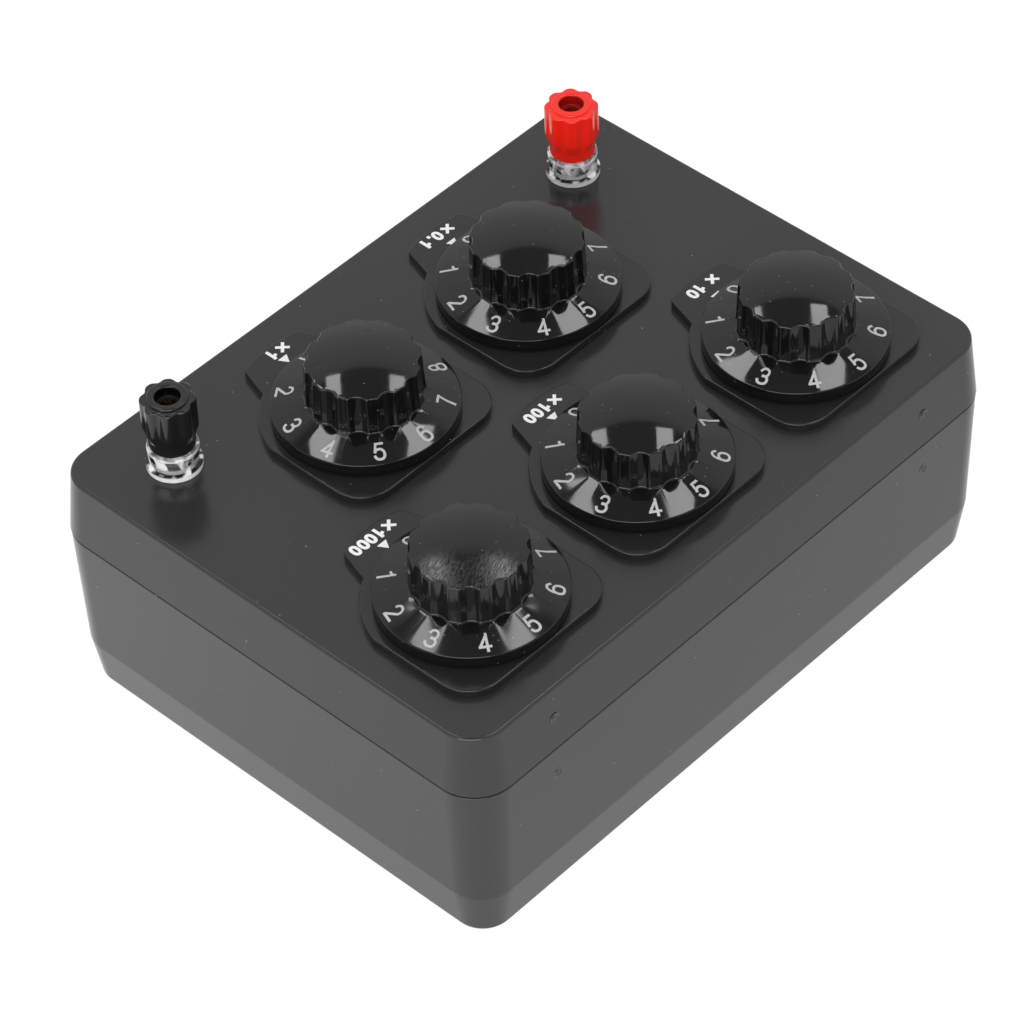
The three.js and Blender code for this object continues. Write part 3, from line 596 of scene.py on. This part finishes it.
# In millimetres: the labels' signs with their middles across the tab, the arrows' places, and how far each
# print has slipped up the tab
labels = {
    "tenths": [("×", -2.7), ("0", 0.65), (".", 2.4), ("1", 4.5)],
    "units": [("×", -2.2), ("1", 1.2)],
    "tens": [("×", -2.9), ("1", 1.4), ("0", 3.85)],
    "hundreds": [("×", -3.1), ("1", 0.1), ("0", 2.6), ("0", 5.05)],
    "thousands": [("×", -3.7), ("1", -0.6), ("0", 1.88), ("0", 4.27), ("0", 6.73)],
}
arrow_middles = {"tenths": -0.1, "units": 0.2, "tens": 0.5, "hundreds": 1.15, "thousands": 1.3}
print_slips = {"tenths": 0.0, "units": -0.4, "tens": 0.7, "hundreds": 0.5, "thousands": 0.0}
arrow_bases = {"tenths": -24.9, "units": -26, "tens": -24.6, "hundreds": -25.6, "thousands": -25.7}

for name in decades:
    centre = dial_centre[name]
    plate = skin(f"index_plate_{name}_face", plate_rings(eased([
        (0.6 * plate_edge, plate_bottom, 0),
        (0, plate_bottom, 0),
        (0, plate_top, plate_edge),
        (plate_face_margin, plate_top, 0),
    ]), centre))
    boss_root = plate_bottom + boss_overlap
    boss = revolved("boss", [
        (spindle_bore, plate_boss_end), (plate_boss, plate_boss_end),
        (plate_boss, boss_root), (spindle_bore, boss_root)], 48, centre, joined=True)
    drill(plate, [revolved(
        "hole", [(spindle_bore, plate_bottom - 1 * mm), (spindle_bore, plate_top + 1 * mm)], 48, centre)])
    plate = join(f"index_plate_{name}_face", [plate, boss])
    fit(plate, "root", "plate_black", plate_plastic, f"index_plate_{name}")
    slip = print_slips[name] * mm

    def on_plate(across, up, out):
        """A place on this plate's top face."""
        return np.stack([centre[0] + across, centre[1] + slip + label_line + up, plate_top + out], -1)

    signs = []
    for character, across in labels[name]:
        size, weight = (times_size, times_weight) if character == "×" else (label_size, label_weight)
        signs += sign(character, size, weight, (across * mm, 0), on_plate)
    middle = arrow_middles[name] * mm
    foot = arrow_bases[name] * mm - label_line
    corners = np.array([
        (middle - arrow_half_width, foot),
        (middle + arrow_half_width, foot),
        (middle, foot + arrow_length)]).T
    signs.append(skin("arrow", np.stack([
        on_plate(*corners, np.full(3, height)) for height in (-print_height, print_height)])))
    fit(join(f"label_{name}", signs), "root", "plate_black", white_print)

# Dial knobs
# Each knob is one thermoset moulding, polished black: a conical skirt with ten moulded and filled digits,
# and a grip with twelve concave flutes under a shallow dome. The thousands knob's top is worn by fingers.
knob_bottom = lid_top + 2.4 * mm
rim_radius = 21.5 * mm
rim_top = lid_top + 5.2 * mm
rim_edge = 0.3 * mm
skirt_slope = 0.29
grip_radius = 13.25 * mm
grip_draft = 0.4 * mm
grip_top = lid_top + 17.4 * mm
grip_edge = 0.45 * mm
grip_fillet = 0.5 * mm
skirt_wall = 2 * mm
skirt_lip = 1.1 * mm
hidden_edge = 0.2 * mm
dome_height = 1.8 * mm
dome_steps, edge_steps, fillet_steps = 26, 7, 5
flute_count = 12
flute_radius = 3 * mm
flute_depth = 0.85 * mm
flute_phase = math.radians(14.7)
flute_softness = 0.12 * mm
knob_around = 480
hub_radius = 5.3 * mm
hub_bore = 3.3 * mm
hub_root = lid_top + 5.3 * mm
bore_top = lid_top + 11.7 * mm
digit_size = (2.7 * mm, 4.4 * mm)
digit_radius = 18.3 * mm
digit_weight = 0.58 * mm
digits_per_turn = 10


def flute_reach(angle):
    """The grip's radius at an angle: the grip's own, or less where a flute's round cutter has been, with the
    ridge between them softened by the logarithm of a sum of exponentials."""
    pitch = 2 * math.pi / flute_count
    off = (angle - flute_phase + pitch / 2) % pitch - pitch / 2
    cutter = grip_radius - flute_depth + flute_radius
    inside = np.maximum(flute_radius ** 2 - (cutter * np.sin(off)) ** 2, 0)
    chord = cutter * np.cos(off) - np.sqrt(inside)
    cut = np.where(inside > 0, chord, grip_radius)
    return -flute_softness * np.logaddexp(-cut / flute_softness, -grip_radius / flute_softness)


def skirt_height(radius):
    """The height of the skirt's cone at a radius."""
    return rim_top + skirt_slope * (rim_radius - radius)


def knob_rings(angle):
    """The knob's surface, ring by ring from the middle of the dome to the bore: the dome and the grip
    follow the flutes, the skirt and the underside are round. The dome falls with the radius squared."""
    reach = flute_reach(angle)
    share = np.linspace(0, 1, dome_steps)[:, None]
    dome_radius = share * (reach - grip_edge)
    dome = grip_top + dome_height * (1 - (dome_radius / (grip_radius - grip_edge)) ** 2)
    turn = np.linspace(0, math.pi / 2, edge_steps)[1:, None]
    edge_radius = reach - grip_edge * (1 - np.sin(turn))
    edge = dome[-1] - grip_edge * (1 - np.cos(turn))
    fillet = np.linspace(0, math.pi / 2, fillet_steps)[:, None]
    foot_radius = reach + grip_draft + grip_fillet * (1 - np.cos(fillet))
    foot = skirt_height(grip_radius + grip_draft + grip_fillet) + grip_fillet * (1 - np.sin(fillet))
    flare_start = grip_radius + grip_draft + 2 * grip_fillet
    flared = np.array(eased([
        (flare_start, skirt_height(flare_start), 0),
        (rim_radius, rim_top, rim_edge),
        (rim_radius, knob_bottom, hidden_edge),
        (rim_radius - skirt_wall, knob_bottom, hidden_edge),
        (rim_radius - skirt_wall, knob_bottom + skirt_lip, hidden_edge),
        (hub_radius, hub_root, hidden_edge),
        (hub_radius, knob_bottom, hidden_edge),
        (hub_bore, knob_bottom, hidden_edge),
        (hub_bore, bore_top, 0),
        (0, bore_top, 0),
    ]))
    wide = np.ones_like(angle)
    radius = np.concatenate([dome_radius, edge_radius, foot_radius, flared[:, :1] * wide])
    height = np.concatenate([dome, edge, foot * wide, flared[:, 1:] * wide])
    return np.stack([radius * np.cos(angle), radius * np.sin(angle), height], -1)


def polished_thermoset(name, roughness):
    """Polished black moulding: a faint orange peel, dust, and gloss that varies as it is handled."""
    color = (0.005, 0.005, 0.0052)
    material = shader(name, color, roughness)
    dust(material, color, spacing=1.5 * mm, size=0.11 * mm, cover=0.5)
    cloud = noise(material, feature=6 * mm, detail=4)
    link_surface(material, "Roughness", spread(
        material, cloud.outputs["Fac"], 0.7 * roughness, 1.5 * roughness))
    grain(material, feature=1.2 * mm, height=0.0015 * mm)
    return material


knob_gloss = polished_thermoset("knob_gloss", 0.06)
digit_fill = shader("digit_fill", (0.5, 0.5, 0.49), 0.45)
link_surface(digit_fill, "Roughness", spread(
    digit_fill, noise(digit_fill, 0.4 * mm).outputs["Fac"], 0.35, 0.55))

# Worn knob finish
# Fingers have left fine scratches on the thousands knob's dome, all one way, on the side that is held.
scratch_width, scratch_depth = 0.28 * mm, 0.008 * mm
scratch_stretch = (7, 1, 1)
scratch_turn = math.radians(19)
worn_roughness, scratched_roughness = 0.09, 0.2
held_side = Vector((0.71, 0.70, 0))
held_start, held_end = -4 * mm, 6 * mm
worn_centre = dial_centre["thousands"]

knob_worn = polished_thermoset("knob_worn", 0.1)
scratch = noise(
    knob_worn, scratch_width, stretch=scratch_stretch, centre=(*worn_centre, 0),
    turn=scratch_turn).outputs["Fac"]
scratch_bump = add_node(knob_worn, "ShaderNodeBump", [("Height", spread(
    knob_worn, scratch, 0, 1, start=0.4, end=0.6))])
scratch_bump.inputs["Distance"].default_value = scratch_depth
worn_place = add_node(knob_worn, "ShaderNodeTexCoord").outputs["Object"]
towards_hand = add_node(knob_worn, "ShaderNodeVectorMath", [(0, worn_place)], operation="DOT_PRODUCT")
towards_hand.inputs[1].default_value = held_side
held_middle = held_side.xy.dot(Vector(worn_centre))
held = spread(
    knob_worn, towards_hand.outputs["Value"], 0, 1,
    start=held_middle + held_start, end=held_middle + held_end)
worn_height = add_node(knob_worn, "ShaderNodeSeparateXYZ", [("Vector", worn_place)]).outputs["Z"]
on_dome = spread(knob_worn, worn_height, 0, 1, start=grip_top - grip_edge, end=grip_top)
worn_share = combine(knob_worn, "MULTIPLY", on_dome, held)
knob_worn.node_tree.links.new(worn_share, scratch_bump.inputs["Strength"])
link_surface(knob_worn, "Normal", scratch_bump.outputs["Normal"])
scratched = spread(knob_worn, scratch, 0, scratched_roughness, start=0.4, end=0.6)
link_surface(knob_worn, "Roughness", combine(
    knob_worn, "ADD", combine(knob_worn, "MULTIPLY", scratched, worn_share), worn_roughness))

knob_angle = np.arange(knob_around) / knob_around * 2 * math.pi
knob_mesh = skin("knob_pattern", knob_rings(knob_angle))

shown_digit = {"tenths": 0, "units": 1, "tens": 0, "hundreds": 0, "thousands": 0}
click_slip = {"tenths": -0.5, "units": -0.2, "tens": -0.9, "hundreds": -0.6, "thousands": -1.5}
digit_pieces = []
for digit in range(digits_per_turn):
    angle = -math.pi / 2 + digit / digits_per_turn * 2 * math.pi

    def on_skirt(across, up, out):
        """A place on the skirt: across turns round the knob, up leads in towards the grip."""
        radius = digit_radius - up
        turned = angle + across / digit_radius
        height = skirt_height(radius) + out
        return np.stack([radius * np.cos(turned), radius * np.sin(turned), height], -1)

    digit_pieces += sign(str(digit), digit_size, digit_weight, (0, 0), on_skirt)
digit_set = join("digit_pattern", digit_pieces)
for name in decades:
    turn = Matrix.Rotation(
        math.radians(click_slip[name]) - shown_digit[name] / digits_per_turn * 2 * math.pi, 4, "Z")
    stand = Matrix.Translation((*dial_centre[name], 0)) @ turn
    knob = place_mesh(f"dial_knob_{name}_moulding", knob_mesh.data.copy(), stand)
    fit(knob, f"dial_{name}", "knob_black", knob_worn if name == "thousands" else knob_gloss,
        f"dial_knob_{name}")
    digits = place_mesh(f"digits_{name}", digit_set.data.copy(), stand)
    fit(digits, f"dial_{name}", "knob_black", digit_fill)
bpy.data.objects.remove(knob_mesh)
bpy.data.objects.remove(digit_set)

# Binding posts
# Each post is a nickel plated stud with a flange in a clear acrylic collar on the lid. A brass insert runs
# on its thread inside a moulded cap with eight lobes and a mouth for a 4 mm plug.
collar_flange, collar_waist, collar_rim = 6.45 * mm, 5.72 * mm, 5.95 * mm
collar_height = 6.2 * mm
collar_foot_top, collar_waist_height = 1.5 * mm, 1.9 * mm
collar_neck, collar_neck_end = 3.4 * mm, -2.6 * mm
collar_hole = 2.3 * mm
recess_radius, recess_bottom = 4.1 * mm, 5.5 * mm
stud_radius = 2 * mm
stud_flange = 3.8 * mm
stud_flange_top = 6.5 * mm
stud_top, stud_tip = 12.1 * mm, 1.5 * mm
thread_start, thread_end = stud_flange_top + 0.4 * mm, 12 * mm
thread_depth = 0.35 * mm
cap_bottom, cap_top = 6.55 * mm, 20.05 * mm
cap_barrel, cap_lobe = 5.35 * mm, 6.35 * mm
barrel_end, shoulder_end = 9.1 * mm, 11.9 * mm
shoulder_round = 2.2 * mm
valley_depth = 0.75 * mm
lobe_count = 8
cap_edge = 0.5 * mm
ring_inner, ring_outer, ring_height = 2.9 * mm, 4.7 * mm, 0.6 * mm
insert_radius, insert_bore = 3.6 * mm, 2.3 * mm
insert_bottom, insert_top = 6.8 * mm, 15.3 * mm
socket_radius = insert_radius + 0.3 * mm
socket_top = insert_top + 0.05 * mm
mouth_bore, mouth_shoulder = 2.1 * mm, 2.4 * mm
thread_pitch = 0.7 * mm
cap_around = 240


def cap_moulding(name, color, painted_mouth_shade):
    """Glossy moulded plastic with painted shade in its mouth: inside the ring the colour turns darker by the
    distance from the post's axis, standing in for the shade of the deep recess."""
    material = shader(f"{name}_plastic", color, 0.12)
    link_surface(material, "Roughness", spread(
        material, noise(material, 2 * mm, detail=3).outputs["Fac"], 0.07, 0.17))
    grain(material, feature=0.6 * mm, height=0.002 * mm)
    place = add_node(material, "ShaderNodeTexCoord").outputs["Object"]
    flat = add_node(material, "ShaderNodeVectorMath", [(0, place)], operation="MULTIPLY")
    flat.inputs[1].default_value = (1, 1, 0)
    off_axis = add_node(material, "ShaderNodeVectorMath", [(0, flat.outputs[0])], operation="DISTANCE")
    off_axis.inputs[1].default_value = (*post_centre[name], 0)
    # Inside the ring the colour is darkened: painted shade in the mouth.
    outside = spread(material, off_axis.outputs["Value"], 0, 1, start=ring_inner, end=ring_inner + 0.2 * mm)
    link_surface(material, "Base Color", tint(material, outside, painted_mouth_shade, color))
    return material


def set_ramp(ramp, stops):
    """A colour ramp's stops, each a grey at a place from nought to one, in rising order."""
    elements = ramp.color_ramp.elements
    for _ in stops[2:]:
        elements.new(1)
    for element, (position, grey) in zip(elements, stops):
        element.position = position
        element.color = (grey, grey, grey, 1)


# Each cap's second colour is painted shade for the inside of its mouth.
cap_plastics = {
    "red": cap_moulding("red", (0.93, 0.018, 0.008), (0.42, 0.006, 0.004)),
    "black": cap_moulding("black", (0.009, 0.009, 0.0095), (0.003, 0.003, 0.003))}

# The collar's clearness at shares of its height. Where it is low, the white base colour shows as painted
# highlights, in bands where the moulding bends the light most.
collar_glint_bands = (
    (0, 0.1), (0.19, 0.1), (0.235, 1), (0.3, 1), (0.36, 0.92), (0.64, 1), (0.88, 1), (0.91, 0.1), (1, 0.8))
clear_acrylic = shader("clear_acrylic", (0.97, 0.97, 0.97), 0.03, IOR=1.49)
glint_streaks = noise(clear_acrylic, 2.4 * mm, detail=1, stretch=(1, 1, 1.8)).outputs["Fac"]
clear_place = add_node(clear_acrylic, "ShaderNodeTexCoord").outputs["Object"]
clear_height = add_node(clear_acrylic, "ShaderNodeSeparateXYZ", [("Vector", clear_place)]).outputs["Z"]
height_share = spread(clear_acrylic, clear_height, 0, 1, start=lid_top, end=lid_top + collar_height)
glint_ramp = add_node(clear_acrylic, "ShaderNodeValToRGB", [("Fac", height_share)])
set_ramp(glint_ramp, collar_glint_bands)
# Low transmission lets the white base colour show: painted highlights in height bands and vertical streaks.
link_surface(clear_acrylic, "Transmission Weight", combine(
    clear_acrylic, "MULTIPLY", glint_ramp.outputs["Color"],
    spread(clear_acrylic, glint_streaks, 0.1, 1, start=0.38, end=0.5)))
grain(clear_acrylic, feature=1.5 * mm, height=0.0015 * mm)
nickel = shader("nickel", (0.68, 0.67, 0.65), 0.16, Metallic=1.0)
link_surface(nickel, "Roughness", spread(
    nickel, noise(nickel, 0.5 * mm, stretch=(1, 1, 0.1)).outputs["Fac"], 0.1, 0.26))
grain(nickel, feature=0.3 * mm, height=0.002 * mm)
brass = shader("brass", (0.62, 0.42, 0.16), 0.22, Metallic=1.0)
link_surface(brass, "Roughness", spread(
    brass, noise(brass, 0.5 * mm, stretch=(1, 1, 0.1)).outputs["Fac"], 0.15, 0.34))
grain(brass, feature=0.3 * mm, height=0.002 * mm)


def cap_rings(angle):
    """The radii and heights of the cap's surface from its mouth over the lobed outside to its socket. A
    valley between lobes is the cube of a sine round the cap, and fades down to the round barrel."""
    valley = np.abs(np.sin(lobe_count / 2 * angle)) ** 3
    lobed = np.array(eased([
        (ring_outer + 0.15 * mm, cap_top, 0),
        (cap_lobe, cap_top, cap_edge),
        (cap_lobe, shoulder_end, shoulder_round),
        (cap_barrel, barrel_end, shoulder_round),
        (cap_barrel, cap_bottom, 0.3 * mm),
        (socket_radius, cap_bottom, 0.2 * mm),
    ]))
    round_in = np.array(eased([
        (mouth_bore, socket_top, 0),
        (mouth_bore, insert_top + mouth_shoulder, 0.1 * mm),
        (ring_inner, insert_top + mouth_shoulder, 0.3 * mm),
        (ring_inner, cap_top + ring_height, 0.45 * mm),
        (ring_outer, cap_top + ring_height, 0.4 * mm),
        (ring_outer, cap_top + 0.02 * mm, 0),
    ]))
    fade = np.clip((lobed[:, 1] - barrel_end) / (shoulder_end - barrel_end), 0, 1)
    fade = fade * np.clip((lobed[:, 0] - ring_outer) / (cap_lobe - cap_edge - ring_outer), 0, 1)
    wide = np.ones_like(angle)
    radius = np.concatenate([
        round_in[:, :1] * wide,
        lobed[:, :1] - valley_depth * fade[:, None] * valley,
        [socket_radius * wide]])
    height = np.concatenate([round_in[:, 1], lobed[:, 1], [socket_top]])[:, None] * wide
    return radius, height


def around_post(radius, height, angle, centre):
    """Rings of points from radii and heights round a post."""
    return np.stack([
        centre[0] + radius * np.cos(angle), centre[1] + radius * np.sin(angle), lid_top + height], -1)


cap_angle = np.arange(cap_around) / cap_around * 2 * math.pi
thread_height = np.arange(thread_start, thread_end, thread_pitch / 2)
thread_radius = stud_radius - thread_depth * (np.arange(len(thread_height)) % 2)
for name, cap_plastic in cap_plastics.items():
    centre = post_centre[name]
    cap = skin(
        f"post_cap_{name}_moulding", around_post(*cap_rings(cap_angle), cap_angle, centre), joined=True)
    fit(cap, f"cap_{name}", f"cap_{name}", cap_plastic, f"post_cap_{name}")

    collar = revolved(f"clear_collar_{name}_moulding", eased([
        (collar_hole, collar_neck_end, 0),
        (collar_neck, collar_neck_end, 0.1 * mm),
        (collar_neck, 0, 0),
        (collar_flange, 0, 0.1 * mm),
        (collar_flange, collar_foot_top, 0.3 * mm),
        (collar_waist, collar_waist_height, 0.2 * mm),
        (collar_rim, collar_height, 0.25 * mm),
        (recess_radius, collar_height, 0.15 * mm),
        (recess_radius, recess_bottom, 0.1 * mm),
        (collar_hole, recess_bottom, 0),
        (collar_hole, collar_neck_end, 0),
    ])[:-1] + (0, lid_top), 128, centre, joined=True)
    fit(collar, "root", "clear_plastic", clear_acrylic, f"clear_collar_{name}")

    stud_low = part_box(f"post_stud_{name}")[0].z - lid_top
    stud_profile = np.concatenate([
        eased([
            (0, stud_low, 0),
            (stud_radius, stud_low, 0.3 * mm),
            (stud_radius, recess_bottom, 0),
            (stud_flange, recess_bottom, 0.15 * mm),
            (stud_flange, stud_flange_top, 0.2 * mm),
            (stud_radius, stud_flange_top, 0)]),
        np.column_stack([thread_radius, thread_height]),
        [(stud_tip, stud_top), (0, stud_top)]])
    stud = revolved(f"post_stud_{name}_turned", stud_profile + (0, lid_top), 64, centre)
    fit(stud, "root", "steel", nickel, f"post_stud_{name}")

    insert = revolved(f"cap_insert_{name}_turned", eased([
        (insert_bore, insert_bottom, 0),
        (insert_radius, insert_bottom, 0.2 * mm),
        (insert_radius, insert_top, 0.3 * mm),
        (insert_bore, insert_top, 0.3 * mm),
        (insert_bore, insert_bottom, 0),
    ])[:-1] + (0, lid_top), 64, centre, joined=True)
    fit(insert, f"insert_{name}", "brass", brass, f"cap_insert_{name}")

# Works inside the case
# Brown laminated contact decks on pillars carry the studs; wound cards hang below them, stiff yellow
# sleeved links join the decades, and plated nuts and screws hold everything. The solids keep their shapes.
board = shader("board", (0.15, 0.075, 0.03), 0.5)
laminate = noise(board, 3 * mm, detail=5, stretch=(6, 1, 1)).outputs["Fac"]
link_surface(board, "Base Color", tint(board, laminate, (0.11, 0.05, 0.02), (0.2, 0.11, 0.05)))
grain(board, feature=0.4 * mm, height=0.01 * mm)
wire_bands = 1600
wire_relief = 0.08 * mm
winding = shader("winding", (0.05, 0.11, 0.07), 0.35)
winding_place = add_node(winding, "ShaderNodeTexCoord").outputs["Object"]
turns = add_node(
    winding, "ShaderNodeTexWave", [("Vector", winding_place)], bands_direction="Z", Scale=wire_bands)
winding_bump = add_node(winding, "ShaderNodeBump", [("Height", turns.outputs["Fac"])])
winding_bump.inputs["Distance"].default_value = wire_relief
link_surface(winding, "Normal", winding_bump.outputs["Normal"])
# The colour follows the bump's wave: painted shade in the grooves between turns, lighter on their crests.
link_surface(winding, "Base Color", tint(
    winding, turns.outputs["Fac"], (0.02, 0.05, 0.03), (0.07, 0.15, 0.1)))
fibre = shader("fibre", (0.03, 0.03, 0.032), 0.7)
link_surface(fibre, "Base Color", tint(
    fibre, noise(fibre, 0.4 * mm, detail=4).outputs["Fac"], (0.02, 0.02, 0.02), (0.05, 0.045, 0.04)))
grain(fibre, feature=0.2 * mm, height=0.01 * mm)
sleeving = shader("sleeving", (0.55, 0.36, 0.04), 0.55)
link_surface(sleeving, "Base Color", tint(
    sleeving, noise(sleeving, 0.3 * mm, detail=3).outputs["Fac"], (0.42, 0.26, 0.02), (0.62, 0.44, 0.07)))
grain(sleeving, feature=0.3 * mm, height=0.02 * mm)
inner_finish = {
    "contact_deck": board, "resistor_chain": winding, "insulating_washer": fibre, "link_wire": sleeving,
    "plate_nut": brass, "wiper": brass, "spindle": nickel, "post_nut": nickel, "case_screw": nickel}
for node_name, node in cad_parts.items():
    for beginning, material in inner_finish.items():
        if node_name.startswith(beginning):
            node.data.materials.clear()
            node.data.materials.append(material)

# Studio
# The box stands on a white table in a white room. Two narrow soft boxes hang beyond it, high on either
# side, a broad one stands near the camera, and the ceiling is dim, so that the domes shade from light to
# dark. The table is white to the eye and a little darker in reflections towards one side.
floor_reach, floor_depth = 4, 0.05
floor_color = (0.9, 0.9, 0.9, 1)
floor_glow, floor_glow_share = 1.09, 0.85
mirrored_glow = (0.68, 1.1)
mirrored_span = (-0.4, 0.2)

floor = skin("floor", np.array([
    [(-floor_reach, -floor_reach, height), (floor_reach, -floor_reach, height),
     (floor_reach, floor_reach, height), (-floor_reach, floor_reach, height)]
    for height in (-floor_depth, 0)]))
floor_white = bpy.data.materials.new("floor_white")
floor_white.use_nodes = True
floor_white.node_tree.nodes.clear()
floor_place = add_node(floor_white, "ShaderNodeTexCoord").outputs["Object"]
floor_axes = add_node(floor_white, "ShaderNodeSeparateXYZ", [("Vector", floor_place)]).outputs
across_floor = combine(floor_white, "SUBTRACT", floor_axes["X"], floor_axes["Y"])
dimmed = spread(floor_white, across_floor, *mirrored_glow, start=mirrored_span[0], end=mirrored_span[1])
ray = add_node(floor_white, "ShaderNodeLightPath").outputs
glow_strength = add_node(
    floor_white, "ShaderNodeMix", [("Factor", ray["Is Glossy Ray"]), ("B", dimmed)], A=floor_glow)
glow = add_node(floor_white, "ShaderNodeEmission", [("Strength", glow_strength.outputs["Result"])])
diffuse = add_node(floor_white, "ShaderNodeBsdfDiffuse", Color=floor_color)
looked_at = combine(floor_white, "MAXIMUM", ray["Is Camera Ray"], ray["Is Glossy Ray"])
looked_at = combine(floor_white, "MAXIMUM", looked_at, ray["Is Transmission Ray"])
glow_share = combine(floor_white, "MULTIPLY", looked_at, floor_glow_share)
table_top = add_node(
    floor_white, "ShaderNodeMixShader", [("Fac", glow_share), (1, diffuse.outputs[0]), (2, glow.outputs[0])])
add_node(floor_white, "ShaderNodeOutputMaterial", [("Surface", table_top.outputs[0])])
floor.data.materials.append(floor_white)

# The room's strength in reflections at elevations in degrees, on the object and straight ahead
ceiling_steps = ((47, 0.97), (52.5, 0.8), (55, 0.32))
room_light, room_backdrop = 0.8, 1.35
room = bpy.data.worlds.new("room")
scene.world = room
room.use_nodes = True
room.node_tree.nodes.clear()
direction = add_node(room, "ShaderNodeTexCoord").outputs["Generated"]
upward = add_node(room, "ShaderNodeSeparateXYZ", [("Vector", direction)]).outputs["Z"]
ceiling = add_node(room, "ShaderNodeValToRGB", [("Fac", upward)])
set_ramp(ceiling, [(math.sin(math.radians(elevation)), strength) for elevation, strength in ceiling_steps])
ray = add_node(room, "ShaderNodeLightPath").outputs
mirrored = add_node(
    room, "ShaderNodeMix", [("Factor", ray["Is Glossy Ray"]), ("B", ceiling.outputs["Color"])], A=room_light)
straight = combine(room, "MAXIMUM", ray["Is Camera Ray"], ray["Is Transmission Ray"])
brightness = add_node(
    room, "ShaderNodeMix", [("Factor", straight), ("A", mirrored.outputs["Result"])], B=room_backdrop)
background = add_node(room, "ShaderNodeBackground", [("Strength", brightness.outputs["Result"])])
add_node(room, "ShaderNodeOutputWorld", [("Surface", background.outputs[0])])

# Each soft box has its place sideways of the line of sight, its tilt in degrees from the view's up towards
# the eye, its distance, width, height and radiance.
sideways = Vector((-math.sin(camera_azimuth), math.cos(camera_azimuth), 0))
softboxes = {
    "softbox_left": (-0.263, 26.3, 4, 0.43, 2.06, 6.2),
    "softbox_right": (0.232, 27, 4, 0.5, 1.85, 6.2),
    "softbox_near": (-0.19, 111, 1.5, 1.4, 0.95, 3),
}
up = outward.cross(sideways)
for name, (across, tilt_degrees, distance, width, height, radiance) in softboxes.items():
    tilt = math.radians(tilt_degrees)
    way = sideways * across + (up * math.cos(tilt) + outward * math.sin(tilt)) * math.sqrt(1 - across ** 2)
    along = outward * math.cos(tilt) - up * math.sin(tilt)
    light = bpy.data.lights.new(name, "AREA")
    light.shape = "RECTANGLE"
    light.size, light.size_y = width, height
    light.energy = radiance * math.pi * width * height
    lamp = bpy.data.objects.new(name, light)
    lamp_turn = Matrix((along.cross(way), along, way)).transposed()
    lamp.matrix_world = Matrix.Translation(way * distance) @ lamp_turn.to_4x4()
    scene.collection.objects.link(lamp)
